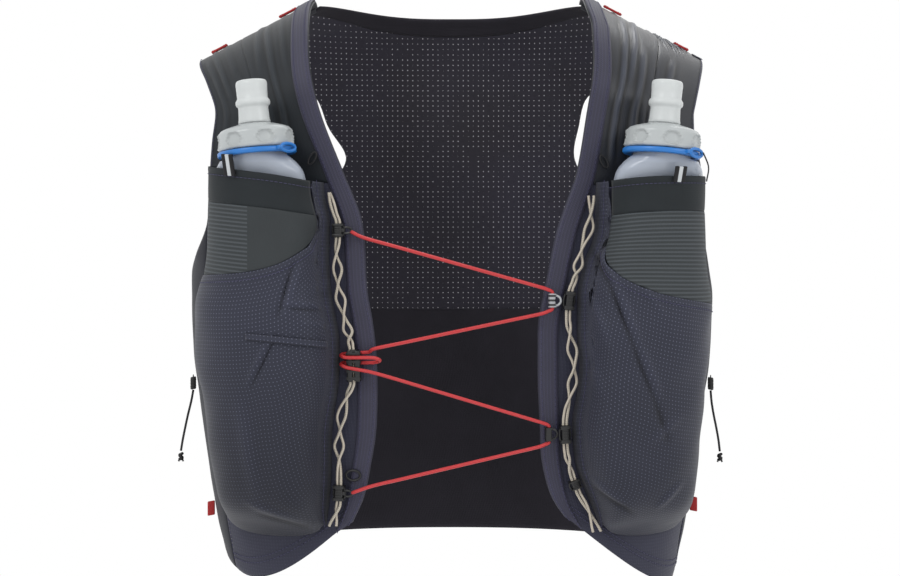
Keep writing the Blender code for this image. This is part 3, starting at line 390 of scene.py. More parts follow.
def paintMix(tree, shader, share, low, high):
    ramp = addNode(tree, "ShaderNodeMix", {"data_type": "RGBA"}, {0: share})
    for socket, value in ((6, low), (7, high)):
        if isinstance(value, bpy.types.NodeSocket):
            tree.links.new(value, ramp.inputs[socket])
        else:
            ramp.inputs[socket].default_value = linear(value)
    tree.links.new(ramp.outputs[2], shader.inputs["Base Color"])
    return ramp.outputs[2]


def bumpOn(tree, shader, height, strength, distance):
    bump = addNode(tree, "ShaderNodeBump", None,
                   {"Height": height, "Strength": strength, "Distance": distance})
    tree.links.new(bump.outputs[0], shader.inputs["Normal"])


def patchNoise(tree, scale, detail=3.0):
    return addNode(tree, "ShaderNodeTexNoise", None,
                   {"Vector": coordsOf(tree), "Scale": scale, "Detail": detail}).outputs[0]


def shadeBy(tree, colour):
    # painted shade and painted highlight: the cloth's own shade attribute darkens the colour in shaded folds
    # and low parts and lightens it on lit ridges
    share = addNode(tree, "ShaderNodeAttribute", {"attribute_name": "shade"}).outputs["Fac"]
    grey = addNode(tree, "ShaderNodeCombineColor", None, {0: share, 1: share, 2: share}).outputs[0]
    mixed = addNode(tree, "ShaderNodeMix", {"data_type": "RGBA", "blend_type": "MULTIPLY"},
                    {0: 1.0, 6: colour, 7: grey})
    return mixed.outputs[2]


def knitFinish(name, dark, light, roughness, ribMm, sheen, bump=0.25, shaded=False):
    # knitted or woven cloth: fine ribs along the piece, patchy dye, soft sheen at the edges
    mat, tree, shader = newFinish(name, dark, roughness)
    waves = clothGrid(tree, ribMm, ribMm * 1.3)
    shader.inputs["Specular IOR Level"].default_value = 0.4 if roughness < 0.4 else 0.22
    base = paintMix(tree, shader, patchNoise(tree, 55.0), dark, light)
    # painted shade and painted highlight from the folds, when shaded
    if shaded:
        tree.links.new(shadeBy(tree, base), shader.inputs["Base Color"])
    weave = mathNode(tree, "ADD", waves[0], mathNode(tree, "MULTIPLY", waves[1], 0.5))
    bumpOn(tree, shader, weave, bump, 0.00012)
    shader.inputs["Sheen Weight"].default_value = sheen
    shader.inputs["Sheen Roughness"].default_value = 0.45
    return mat


def dotFinish(name, ground, shade, dot, pitchMm, dotShare, roughness, shadeScale=26.0, patchy=0.0,
              flat=False, shaded=False):
    # cloth with a regular grid of small dots, as ripstop has; on the perforated back mesh the bright dots are
    # painted light showing through its holes
    mat, tree, shader = newFinish(name, ground, roughness)
    waves = clothGrid(tree, pitchMm, pitchMm, flat)
    both = mathNode(tree, "ADD", waves[0], waves[1])
    spots = mathNode(tree, "GREATER_THAN", both, 2.0 - dotShare)
    patches = patchNoise(tree, shadeScale)
    if patchy:
        loud = mathNode(tree, "GREATER_THAN", patchNoise(tree, 900.0, 0.0), patchy)
        spots = mathNode(tree, "MULTIPLY", spots, loud)
    shader.inputs["Specular IOR Level"].default_value = 0.5 if flat else 0.25
    base = paintMix(tree, shader, patches, ground, shade)
    base = paintMix(tree, shader, spots, base, dot)
    # painted shade and painted highlight from the folds, when shaded
    if shaded:
        tree.links.new(shadeBy(tree, base), shader.inputs["Base Color"])
    bumpOn(tree, shader, both, 0.3, 0.00010)
    shader.inputs["Sheen Weight"].default_value = 0.06
    return mat


def mouldedFinish(name, base, roughness, grain=0.15):
    # moulded plastic: fine spark-eroded grain
    mat, tree, shader = newFinish(name, base, roughness)
    bumpOn(tree, shader, patchNoise(tree, 2600.0, 1.0), grain, 0.00006)
    return mat


def braidFinish(name, low, high, pitchMm, roughness=0.6, share=0.2):
    # braided cord: two sets of strands cross round it
    mat, tree, shader = newFinish(name, low, roughness)
    parts = splitCoords(tree, "UV")
    turn = mathNode(tree, "MULTIPLY", parts[0], math.tau * 3)
    along = mathNode(tree, "MULTIPLY", parts[1], math.tau / pitchMm)
    one = mathNode(tree, "SINE", mathNode(tree, "ADD", turn, along))
    two = mathNode(tree, "SINE", mathNode(tree, "SUBTRACT", turn, along))
    braid = mathNode(tree, "MULTIPLY", one, two)
    paintMix(tree, shader, mathNode(tree, "GREATER_THAN", braid, 1 - 2 * share), low, high)
    bumpOn(tree, shader, braid, 0.5, 0.0002)
    return mat


def ribbedTape():
    # stretch binding with fine ribs along it
    mat, tree, shader = newFinish("ribbed binding tape", "#222135", 0.6)
    waves = clothGrid(tree, 2.3, 1.5)
    lines = mathNode(tree, "GREATER_THAN", waves[0], 0.55)
    speckled = mathNode(tree, "MULTIPLY", lines, mathNode(tree, "GREATER_THAN", waves[1], -0.3))
    base = paintMix(tree, shader, patchNoise(tree, 40.0), "#201f31", "#29283d")
    paintMix(tree, shader, mathNode(tree, "MULTIPLY", speckled, 0.5), base, "#3b3a54")
    bumpOn(tree, shader, mathNode(tree, "ADD", waves[0], waves[1]), 0.3, 0.00012)
    shader.inputs["Sheen Weight"].default_value = 0.08
    return mat


strapStretch = knitFinish("stretch woven nylon", "#181c20", "#22262b", 0.50, 1.0, 0.10, shaded=True)
panelRipstop = dotFinish("ripstop nylon panel", "#282937", "#2f3040", "#3a3b4c", 2.4, 0.35, 0.62)
pocketRipstop = dotFinish("dotted ripstop pocket", "#242632", "#2d2f3d", "#585b6c", 2.6, 0.34, 0.58,
                          shaded=True)
bandKnit = knitFinish("elastic band knit", "#1c2023", "#23282b", 0.72, 0.9, 0.06)
# painted light: the bright dots stand for the white behind showing through the perforations, lit only in
# patches where the holes of both layers line up
backPerforated = dotFinish("perforated spacer mesh", "#1a171b", "#272536", "#c9c6cd", 3.7, 0.17, 0.82,
                           11.0, 0.42, True)
backPlain = knitFinish("brushed knit lining", "#242228", "#2b2930", 0.85, 1.2, 0.04)
sideStretch = knitFinish("stretch side mesh", "#1a1b22", "#23252e", 0.70, 1.3, 0.08)
tapeIndigo = ribbedTape()
seamThread = newFinish("polyester thread", "#3d3c58", 0.7)[0]
blackMoulded = mouldedFinish("black moulded nylon", "#151516", 0.38)
tabWoven = knitFinish("red woven tape", "#8c1f25", "#b03634", 0.6, 0.7, 0.15, 0.5)
laceBraid = braidFinish("red braided elastic", "#b3262b", "#d94a4b", 1.6, 0.5)
creamBraid = braidFinish("cream braid with dark flecks", "#b4ac9e", "#5c574e", 2.4, 0.7, 0.13)
creamSmooth = braidFinish("cream smooth cord", "#b9b0a2", "#a0978a", 2.0, 0.6)
blackBraid = braidFinish("black braided cord", "#17171a", "#2c2c31", 1.4, 0.7)
blackTape = knitFinish("black nylon tape", "#141416", "#1d1d20", 0.6, 0.8, 0.08)
reflectTape = mouldedFinish("reflective tape", "#b6babd", 0.3)
ringBlue = mouldedFinish("blue polypropylene", "#1f6db8", 0.35)


def ribbedMesh(name, inner):
    # open knit over the flask: level ribs as far as the x of inner, smooth past it
    mat, tree, shader = newFinish(name, "#22282b", 0.7)
    waves = clothGrid(tree, 1.1, 2.7)
    mask = mathNode(tree, "LESS_THAN", splitCoords(tree)[0], inner)
    ribs = mathNode(tree, "MULTIPLY", mathNode(tree, "GREATER_THAN", waves[1], 0.25), mask)
    base = paintMix(tree, shader, patchNoise(tree, 30.0), "#1d2225", "#272d30")
    paintMix(tree, shader, mathNode(tree, "MULTIPLY", ribs, 0.65), base, "#454b50")
    bumpOn(tree, shader, mathNode(tree, "ADD", mathNode(tree, "MULTIPLY", waves[1], mask), waves[0]),
           0.4, 0.00015)
    return mat


def milkyPlastic(name, base, roughness, through, ior=1.45):
    # soft clear plastic with a milky body: light shows through, edges catch it
    mat, tree, shader = newFinish(name, base, roughness)
    shader.inputs["Transmission Weight"].default_value = through
    shader.inputs["IOR"].default_value = ior
    bumpOn(tree, shader, patchNoise(tree, 90.0), 0.12, 0.0008)
    return mat


pocketMeshes = {
    -1: ribbedMesh("partly ribbed open mesh", -0.1346),
    1: ribbedMesh("ribbed open mesh", 1.0),
}
flaskFilm = milkyPlastic("clear flask film", "#b2bac7", 0.24, 0.30)
capFrosted = milkyPlastic("frosted polypropylene cap", "#b8bdbe", 0.26, 0.20, 1.49)
valveSilicone = milkyPlastic("frosted silicone valve", "#cfd3d3", 0.36, 0.18, 1.41)
print("finishes made")


# cloth builders

def addObject(name, mesh, finishes, body="vest", smooth=True):
    obj = bpy.data.objects.new(name, mesh)
    scene.collection.objects.link(obj)
    for mat in finishes:
        mesh.materials.append(mat)
    mesh.polygons.foreach_set("use_smooth", [smooth] * len(mesh.polygons))
    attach(obj, body)
    return obj


def standFor(obj, node):
    if node:
        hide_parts(node)
    return obj


def facedOut(mesh):
    shape = bmesh.new()
    shape.from_mesh(mesh)
    bmesh.ops.recalc_face_normals(shape, faces=shape.faces)
    if shape.calc_volume(signed=True) < 0:
        bmesh.ops.reverse_faces(shape, faces=shape.faces)
    shape.to_mesh(mesh)
    shape.free()


def clothShell(name, points, normals, thick, finishes, node, slot, lift=0.0, rim=0.35, shade=None):
    # closed cloth with soft rims over a grid; its UV map is in millimetres
    rows, cols = points.shape[:2]
    edge = np.ones((rows, cols))
    for k, share in enumerate((rim, 0.85)):
        edge[k, :] = np.minimum(edge[k, :], share)
        edge[-1 - k, :] = np.minimum(edge[-1 - k, :], share)
        edge[:, k] = np.minimum(edge[:, k], share)
        edge[:, -1 - k] = np.minimum(edge[:, -1 - k], share)
    outer = points + normals * (lift + thick / 2 + thick / 2 * edge)[..., None]
    inner = points + normals * (lift + thick / 2 - thick / 2 * edge)[..., None]
    index = np.arange(rows * cols).reshape(rows, cols)
    quads = np.stack([index[:-1, :-1], index[:-1, 1:], index[1:, 1:], index[1:, :-1]], -1)
    quads = quads.reshape(-1, 4)
    count = rows * cols
    loop = np.concatenate([index[0, :], index[1:, -1], index[-1, -2::-1], index[-2:0:-1, 0]])
    after = np.roll(loop, -1)
    wall = np.stack([loop, after, after + count, loop + count], -1)
    faces = np.concatenate([quads, quads[:, ::-1] + count, wall])
    mesh = bpy.data.meshes.new(name)
    mesh.from_pydata(np.concatenate([outer.reshape(-1, 3), inner.reshape(-1, 3)]).tolist(), [],
                     faces.tolist())
    acrossMm = np.zeros((rows, cols))
    downMm = np.zeros((rows, cols))
    acrossMm[:, 1:] = np.cumsum(np.linalg.norm(np.diff(points, axis=1), axis=-1), axis=1) / mm
    downMm[1:, :] = np.cumsum(np.linalg.norm(np.diff(points, axis=0), axis=-1), axis=0) / mm
    flat = np.stack([acrossMm, downMm], -1).reshape(-1, 2)
    flat = np.concatenate([flat, flat])
    layer = mesh.uv_layers.new(name="cloth")
    layer.data.foreach_set("uv", flat[faces.ravel()].ravel())
    if shade is not None:
        both = np.tile(np.broadcast_to(shade, (rows, cols)).ravel(), 2)
        mesh.attributes.new("shade", "FLOAT", "POINT").data.foreach_set("value", both)
    facedOut(mesh)
    return standFor(addObject(name, mesh, finishes), node)


def creaseField(points, creases):
    # folds along straight lines seen from the front: ends (x, z), width and height, in mm
    x, z = points[..., 0] / mm, points[..., 2] / mm
    total = np.zeros(x.shape)
    for x0, z0, x1, z1, width, height in creases:
        length = math.hypot(x1 - x0, z1 - z0)
        along = ((x - x0) * (x1 - x0) + (z - z0) * (z1 - z0)) / length
        off = ((x - x0) * (z1 - z0) - (z - z0) * (x1 - x0)) / length
        t = np.clip(along / length, 0, 1)
        past = np.abs(along - t * length)
        fade = np.sin(np.pi * np.clip(t * 0.9 + 0.05, 0, 1)) ** 0.7
        total += height * fade * np.exp(-(off / width) ** 2 - (past / width) ** 2)
    return total * mm


def softNoise(points, scaleMm, height, seed):
    # gentle unevenness from a few fixed waves
    rng = np.random.default_rng(seed)
    total = np.zeros(points.shape[:-1])
    for k in range(7):
        direction = rng.normal(size=3)
        direction /= np.linalg.norm(direction)
        pace = math.tau / (scaleMm * mm * rng.uniform(0.7, 1.6))
        total += np.sin(points @ direction * pace + rng.uniform(0, math.tau))
    return total * height * mm / 7


def tubeShape(points, radius, count):
    # rings of a tube with the least twist
    points = np.asarray(points, float)
    radius = np.broadcast_to(radius, len(points))
    ahead = unit(np.gradient(points, axis=0))
    sideAxis = np.array([0.0, 1.0, 0.0])
    rings = []
    turn = np.linspace(0, math.tau, count, endpoint=False)
    for k in range(len(points)):
        sideAxis = unit(sideAxis - ahead[k] * np.dot(sideAxis, ahead[k]))
        other = np.cross(ahead[k], sideAxis)
        spoke = np.outer(np.cos(turn), sideAxis) + np.outer(np.sin(turn), other)
        rings.append(points[k] + radius[k] * spoke)
    return np.array(rings)


def ringSolid(name, rings, finishes, node=None, body="vest", closed=False, smooth=True):
    # closed solid through rings; capped at its ends or joined round
    rings = np.asarray(rings, float)
    rows, count = rings.shape[:2]
    index = np.arange(rows * count).reshape(rows, count)
    low = index if closed else index[:-1]
    high = np.roll(index, -1, axis=0) if closed else index[1:]
    quads = np.stack([low, np.roll(low, -1, 1), np.roll(high, -1, 1), high], -1).reshape(-1, 4)
    faces = quads.tolist()
    along = np.zeros(rows)
    along[1:] = np.cumsum(np.linalg.norm(np.diff(rings.mean(1), axis=0), axis=-1)) / mm
    uv = []
    for j in range(rows if closed else rows - 1):
        for i in range(count):
            a, b = i / count, (i + 1) / count
            top = along[j + 1] if j + 1 < rows else along[j]
            uv += [(a, along[j]), (b, along[j]), (b, top), (a, top)]
    if not closed:
        faces += [index[0, ::-1].tolist(), index[-1].tolist()]
        uv += [(0.5, along[0])] * count + [(0.5, along[-1])] * count
    mesh = bpy.data.meshes.new(name)
    mesh.from_pydata(rings.reshape(-1, 3).tolist(), [], faces)
    mesh.uv_layers.new(name="round").data.foreach_set("uv", np.array(uv).ravel())
    facedOut(mesh)
    return standFor(addObject(name, mesh, finishes, body, smooth), node)


def smoothRoute(points, steps):
    # smooth curve that passes through every point
    points = np.asarray(points, float)
    padded = np.concatenate([2 * points[:1] - points[1:2], points, 2 * points[-1:] - points[-2:-1]])
    t = np.linspace(0, 1, steps, endpoint=False)[:, None]
    route = []
    for a, b, c, d in zip(padded, padded[1:], padded[2:], padded[3:]):
        route.append(0.5 * (2 * b + (c - a) * t + (2 * a - 5 * b + 4 * c - d) * t ** 2
                            + (3 * b - a - 3 * c + d) * t ** 3))
    return np.concatenate(route + [points[-1:]])


def panelSpot(side, share, z, lift):
    point, normal = panelAt(side, share, np.array(z, float))
    above = panelAt(side, share, np.array(z + 0.004))[0]
    up = unit(above - point)
    across = unit(np.cross(up, normal))
    return point + normal * lift, across, normal, up


def addBlock(shape, middle, axes, halves, bevel, segments=2):
    made = bmesh.ops.create_cube(shape, size=2.0)["verts"]
    turn = Matrix([Vector(a) * h for a, h in zip(axes, halves)]).transposed()
    for vert in made:
        vert.co = Vector(middle) + turn @ vert.co
    edges = list({e for v in made for e in v.link_edges})
    if turn.determinant() < 0:
        bmesh.ops.reverse_faces(shape, faces=list({f for v in made for f in v.link_faces}))
    if bevel:
        bmesh.ops.bevel(shape, geom=edges, offset=bevel, segments=segments, affect="EDGES", profile=0.5)


def bridge(shape, rings, whole):
    # wall between rings of vertices, joined round or capped at both ends
    count = len(rings[0])
    for a, b in list(zip(rings, rings[1:])) + ([(rings[-1], rings[0])] if whole else []):
        for i in range(count):
            k = (i + 1) % count
            shape.faces.new((a[i], a[k], b[k], b[i]))
    if not whole:
        shape.faces.new(rings[0])
        shape.faces.new(rings[-1][::-1])


def addLoop(shape, middle, axisA, axisB, radiusA, radiusB, thick, turns=(0.0, 1.0), count=28):
    # ring or bow of round section
    whole = turns[1] - turns[0] >= 1.0
    share = np.linspace(turns[0], turns[1], count, endpoint=not whole) * math.tau
    points = (np.asarray(middle) + np.outer(np.cos(share), axisA) * radiusA
              + np.outer(np.sin(share), axisB) * radiusB)
    normal = unit(np.cross(axisA, axisB))
    steps = np.roll(points, -1, 0) - np.roll(points, 1, 0)
    if not whole:
        steps[0], steps[-1] = points[1] - points[0], points[-1] - points[-2]
    rings = []
    for point, step in zip(points, unit(steps)):
        out = np.cross(step, normal)
        rings.append([shape.verts.new(point + (math.cos(a) * out + math.sin(a) * normal) * thick)
                      for a in np.linspace(0, math.tau, 8, endpoint=False)])
    bridge(shape, rings, whole)


def finishShape(name, shape, finishes, node=None, body="vest", smooth=True, fresh=True):
    if fresh:
        bmesh.ops.recalc_face_normals(shape, faces=shape.faces)
    mesh = bpy.data.meshes.new(name)
    shape.to_mesh(mesh)
    shape.free()
    obj = addObject(name, mesh, finishes, body, smooth)
    if smooth:
        mesh.set_sharp_from_angle(angle=math.radians(38))
    return standFor(obj, node)


# side pull cords, their toggles and knots
pullCord = {
    "diameter": 0.0016, "points": 25, "turn": 86.0, "lift": 0.0024, "toggle": (0.0021, 0.0020, 0.0044),
    "rib": (0.0023, 0.0021, 0.0005), "ribPitch": 0.0022, "knotDrop": 0.0036, "coil": 0.00105,
    "coilPitch": 0.0016, "tail": 0.0006, "coils": ((0.5, 1.9), (-0.6, 2.0), (0.2, 1.7)),
    -1: [(-0.602, 0.0, 0.0), (-0.622, 1.4, -1.0), (-0.645, 3.6, -1.4), (-0.668, 5.6, -1.2),
         (-0.690, 7.4, -0.6), (-0.708, 8.6, 0.0)],
    1: [(-0.610, 0.0, 0.0), (-0.630, 0.6, -1.0), (-0.652, 2.0, -1.4), (-0.674, 3.8, -1.2),
        (-0.696, 5.4, -0.6), (-0.716, 6.4, 0.0)],
}
for side, tag in sides:
    rows = pullCord[side]
    drop = edgeDrop(outerRows, side, rows[0][0] + 0.012)
    point, normal = place(side * pullCord["turn"], drop)
    point = point + normal * (form["cloth"] + form["gap"] + pullCord["lift"])
    other = unit(np.cross(upward, normal))
    shape = bmesh.new()
    addBlock(shape, point, (other, normal, upward), pullCord["toggle"], 0.0009, 3)
    for k in (-1, 0, 1):
        rib = point + upward * k * pullCord["ribPitch"]
        addBlock(shape, rib, (other, normal, upward), pullCord["rib"], 0.0003)
    addLoop(shape, point + upward * 0.0040, other, upward, 0.0014, 0.0016, 0.0004)
    finishShape("sideToggle" + tag, shape, [blackMoulded], "side_toggle" + tag)
    hang = point - upward * (pullCord["toggle"][2] + form["gap"])
    table = [(k, hang[0] + side * a * mm, hang[1] + b * mm, hang[2] + (z - rows[0][0]) * tall)
             for k, (z, a, b) in enumerate(rows)]
    at = np.linspace(0, len(rows) - 1, pullCord["points"])
    route = np.stack([readRows(table, c, at) for c in (1, 2, 3)], -1)
    rings = tubeShape(route, pullCord["diameter"] / 2, 10)
    cord = ringSolid("pullCord" + tag, rings, [blackBraid], "pull_cord" + tag)
    knotAt = route[-1] - upward * (form["gap"] + pullCord["knotDrop"])
    shape = bmesh.new()
    for k, (lean, size) in enumerate(pullCord["coils"]):
        addLoop(shape, knotAt + upward * pullCord["coilPitch"] * (1 - k), unit(east + upward * lean), north,
                size * 0.55 * mm, size * 0.5 * mm, pullCord["coil"], count=16)
    for away in (-1, 1):
        tail = np.array([knotAt, knotAt - upward * 0.002 + east * away * 0.0010,
                         knotAt - upward * 0.0034 + east * away * 0.0017])
        rings = tubeShape(tail, pullCord["tail"], 8)
        bridge(shape, [[shape.verts.new(p) for p in ring] for ring in rings], False)
    knot = finishShape("cordKnot" + tag, shape, [blackBraid], "cord_knot" + tag)
    length = float(np.sum(np.linalg.norm(np.diff(route, axis=0), axis=-1)))
print("pull cords done")

# shoulder straps: long folds run down each; u and v at both ends, width in u, height in mm
strap = {
    "columns": 120, "rows": 120, "foldHeight": 0.0011, "seamU": (0.46, 0.56), "seamDepth": 0.0006,
    "patch": (0.13, 0.03, 0.20), "patchLift": 0.0004, "damp": {-1: 0.6, 1: 1.0}, "crisp": {-1: 0.9, 1: 2.0},
    -1: [(0.20, 0.10, 0.26, 0.66, 0.020, 1.0), (0.12, 0.30, 0.17, 0.86, 0.024, 0.8),
         (0.33, 0.04, 0.38, 0.60, 0.026, 0.7), (0.64, 0.10, 0.60, 0.56, 0.020, 0.9),
         (0.70, 0.20, 0.72, 0.92, 0.018, 1.1), (0.80, 0.06, 0.82, 0.60, 0.016, 0.6),
         (0.40, 0.50, 0.52, 0.98, 0.020, 0.6), (0.60, 0.62, 0.66, 0.98, 0.018, 0.8)],
    1: [(0.52, 0.03, 0.40, 0.34, 0.009, 1.5), (0.44, 0.02, 0.31, 0.36, 0.009, 1.5),
        (0.36, 0.04, 0.24, 0.33, 0.009, 1.4), (0.29, 0.05, 0.18, 0.28, 0.009, 1.3),
        (0.22, 0.05, 0.13, 0.20, 0.008, 1.1), (0.58, 0.00, 0.52, 0.24, 0.012, 1.0),
        (0.82, 0.02, 0.78, 0.20, 0.012, 1.4), (0.74, 0.02, 0.75, 0.16, 0.010, 1.2),
        (0.66, 0.12, 0.72, 0.60, 0.016, 1.0), (0.76, 0.22, 0.80, 0.94, 0.016, 1.0),
        (0.62, 0.40, 0.66, 0.98, 0.020, 0.9), (0.36, 0.40, 0.44, 0.98, 0.024, 0.7)],
}
strapSatin = knitFinish("shiny stretch woven nylon", "#15171c", "#20232b", 0.33, 1.0, 0.10, shaded=True)
patchMesh = dotFinish("shoulder spacer mesh", "#22232d", "#30313f", "#8d90a4", 1.7, 0.5, 0.6)
for side, tag in sides:
    u = np.linspace(0, 1, strap["columns"])[None, :]
    v = np.linspace(0, 1, strap["rows"])[:, None]
    points, normals = frontAt(side, u, v)
    fade = np.sin(np.pi * np.minimum(1.0, u / 0.84)) * np.sin(np.pi * v) ** 2
    fold = strap["foldHeight"] * 0.35 * fade * (1 + np.sin(u * 17.0 + v * 9 * 0.45 * side))
    for u0, v0, u1, v1, width, height in strap[side]:
        t = np.clip((v - v0) / (v1 - v0), 0, 1)
        off = (u - mix(u0, u1, t)) / width
        ends = np.clip((v - v0) * 14 + 0.35, 0, 1) * np.clip((v1 - v) * 7, 0, 1)
        fold = fold + height * mm * ends * (np.exp(-off ** 2) - 0.35 * np.exp(-(np.abs(off) - 2.0) ** 2))
    seamAt = mix(strap["seamU"][0], strap["seamU"][1], v)
    fold = fold - strap["seamDepth"] * np.exp(-((u - seamAt) / 0.008) ** 2)
    fold = fold * np.clip((0.93 - u) / 0.06, 0, 1) * strap["damp"][side]
    points = points + normals * fold[..., None]
    normals = gridNormals(points, normals)
    # painted highlight on the fold ridges and painted shade in the fold valleys, stronger on the shiny right
    # strap; the shade attribute carries it into the colour
    crisp = fold - (np.roll(fold, 3, 1) + np.roll(fold, -3, 1)) / 2
    shade = np.clip(1.0 + crisp / mm * strap["crisp"][side], 0.5, 3.2)
    clothShell("shoulderStrap" + tag, points, normals, form["cloth"],
               [strapStretch if side < 0 else strapSatin], "shoulder_strap" + tag, "strap_cloth",
               shade=shade)

# small mesh patch at the outer corner of the right strap
endU, startV, endV = strap["patch"]
points, normals = frontAt(1, np.linspace(0.004, endU, 24)[None, :], np.linspace(startV, endV, 24)[:, None])
clothShell("shoulderPatch", points, normals, 0.0005, [patchMesh], None, "strap_cloth",
           lift=form["cloth"] + strap["patchLift"])
print("straps done")

# front panels, side panels and the tape along the open front
panel = {
    "columns": 44, "rows": 110, "tapeColumns": 11, "tapeRows": 190, "crown": 0.0004, "pucker": 0.00012,
    "sideColumns": 40, "sideRows": 70, "sideRise": (0.004, 0.012), "sideSag": 0.005, "edgeTurn": 0.05,
    "seamTape": 0.0006, "seamTapeLift": -0.0008, "seamTapeTurn": 1.7, "seamTapeV": 0.025,
}
tapeLines = {}
for side, tag in sides:
    u = np.linspace(0, 1, panel["columns"])[None, :]
    v = np.linspace(1, 2, panel["rows"])[:, None]
    points, normals = frontAt(side, u, v)
    points = points + normals * softNoise(points, 38, 0.5, 3 + side)[..., None]
    clothShell("frontPanel" + tag, points, normals, form["cloth"], [panelRipstop],
               "front_panel" + tag, "panel_cloth")

    v = np.linspace(0, 2, panel["tapeRows"])[:, None]
    edge = frontAt(side, 1.0, v)[0]
    half = frontAt(side, 0.5, v)[0]
    start = 1 - 0.5 * form["tapeWidth"] / np.linalg.norm(edge - half, axis=-1)
    share = np.linspace(0, 1, panel["tapeColumns"])[None, :]
    tapeU = mix(start, 1.0, share)
    points, normals = frontAt(side, tapeU, v)
    crown = panel["crown"] * np.sin(np.pi * share) ** 0.6
    pucker = panel["pucker"] * np.sin(v * 260.0) * np.sin(np.pi * share)
    points = points + normals * (crown + pucker)[..., None]
    clothShell("frontBinding" + tag, points, normals, form["tape"], [tapeIndigo],
               "front_binding" + tag, "binding_cloth", lift=form["cloth"] + form["gap"])
    tapeLines[side] = []
    for at in (0.16, 0.84):
        line, out = frontAt(side, mix(start, 1.0, at), v)
        tapeLines[side].append((line + out * (form["cloth"] + form["gap"] + form["tape"] + 0.0004))[:, 0])

    top = edgeDrop(outerRows, side, form["armholeFloor"])
    end = edgeDrop(outerRows, side, hemEnds[side][0])
    down = np.linspace(0, 1, panel["sideRows"])[:, None]
    share = np.linspace(0, 1, panel["sideColumns"])[None, :]
    outDrop = mix(top, end, down)
    start = edgeAngle(outerRows, side, outDrop)
    seamAngle = 180 - form["sideSeam"]
    angle = mix(start + side * panel["edgeTurn"], side * (seamAngle - panel["edgeTurn"]), share)
    rise = mix(*panel["sideRise"], down)
    lifted = share * rise + panel["sideSag"] * np.sin(np.pi * share) * down
    dip = form["armholeScoop"][side] * (1 - down) * np.sin(np.pi * share * 0.999) ** 0.7
    points, normals = place(angle, outDrop - lifted + dip + level(angle) - level(start))
    points = points + normals * softNoise(points, 30, 0.6, 9 + side)[..., None]
    clothShell("sidePanel" + tag, points, normals, form["cloth"], [sideStretch],
               "side_panel" + tag, "back_cloth")

    # flat tape behind the side seam and behind the shoulder seam
    seam = side * seamAngle + np.linspace(-1, 1, 8)[None, :] * panel["seamTapeTurn"]
    v = np.linspace(-1, 1, 8)[:, None] * panel["seamTapeV"]
    for name, spot, slot in (
            ("sideSeamTape", place(seam, (outDrop - rise - level(start))[5:-1] + level(seam)), "back_cloth"),
            ("shoulderSeamTape", frontAt(side, np.linspace(0.01, 0.985, 40)[None, :], v), "strap_cloth")):
        clothShell(name + tag, *spot, panel["seamTape"], [sideStretch], None, slot,
                   lift=panel["seamTapeLift"])
print("panels done")


# back: perforated mesh over a plain knit, and the plain band round the neck
def backLine(ends, midDrop, bend, count):
    share = np.linspace(-1, 1, count)
    halfAngle, endDrop = (np.where(share < 0, ends[0][k], ends[1][k]) for k in (0, 1))
    depth = mix(midDrop - level(0.0), endDrop - level(halfAngle), np.abs(share) ** bend)
    return place(180 - halfAngle * share, depth + level(halfAngle * share))


def resampled(rows, count):
    rows = np.asarray(rows)
    flat = smoothRoute(rows.reshape(len(rows), -1), 24).reshape(-1, rows.shape[1], 3)
    pick = np.linspace(0, len(flat) - 1, count).round().astype(int)
    return flat[pick]


def backSheet(lines, count):
    points = resampled([line[0] for line in lines], count)
    return points, gridNormals(points, resampled([line[1] for line in lines], count))


def seamLine(span, midZ, bend, count):
    angle = findAt(span * wide, crest(span * wide) - 0.002)[0]
    end = (angle, form["seamBehind"] + 0.0010)
    return backLine((end, end), findAt(0.0001, midZ * tall)[1], bend, count)


back = {
    "columns": 96, "meshRows": 110, "neckRows": 13, "lowerRows": 60, "seamZ": -0.4805,
    "hem": (-0.895, -0.880), "neckExtra": 0.0006, "endTurn": 0.05, "yokeEnd": (0.5835, 0.0138, 2.2),
}
lines = []
for left, right, endZ, midZ, bend in backRows:
    ends = []
    for span in (left, right):
        angle, endDrop = findAt(span * wide, endZ * tall)
        ends.append((np.minimum(angle, form["sideSeam"] - back["endTurn"]), endDrop))
    lines.append(backLine(ends, findAt(0.0001, midZ * tall)[1], bend, back["columns"]))
lines += [seamLine(*row, back["columns"]) for row in yokeRows + [back["yokeEnd"]]]
points, normals = backSheet(lines, back["meshRows"])
clothShell("backMesh", points, normals, form["cloth"], [backPerforated], "back_mesh_panel", "back_cloth")

points, normals = backSheet([seamLine(*row, back["columns"]) for row in neckRows], back["neckRows"])
clothShell("neckBinding", points, normals, form["cloth"] + back["neckExtra"], [backPlain], "neck_binding",
           "back_cloth", lift=-back["neckExtra"] / 2)

half = form["sideSeam"] - back["endTurn"]
base = rollQuarter - form["shoulderRoll"]
lines = [backLine(((half, base + level(half) - mix(back["seamZ"], back["hem"][0], s) * tall),) * 2,
                  base + level(0.0) - mix(back["seamZ"], back["hem"][1], s) * tall, 2.0, back["columns"])
         for s in np.linspace(0, 1, back["lowerRows"])]
points, normals = (np.array([line[k] for line in lines]) for k in (0, 1))
points = points + normals * softNoise(points, 45, 0.9, 4)[..., None]
clothShell("backLower", points, normals, form["cloth"], [backPlain], "back_lower_panel", "back_cloth")
print("back done")

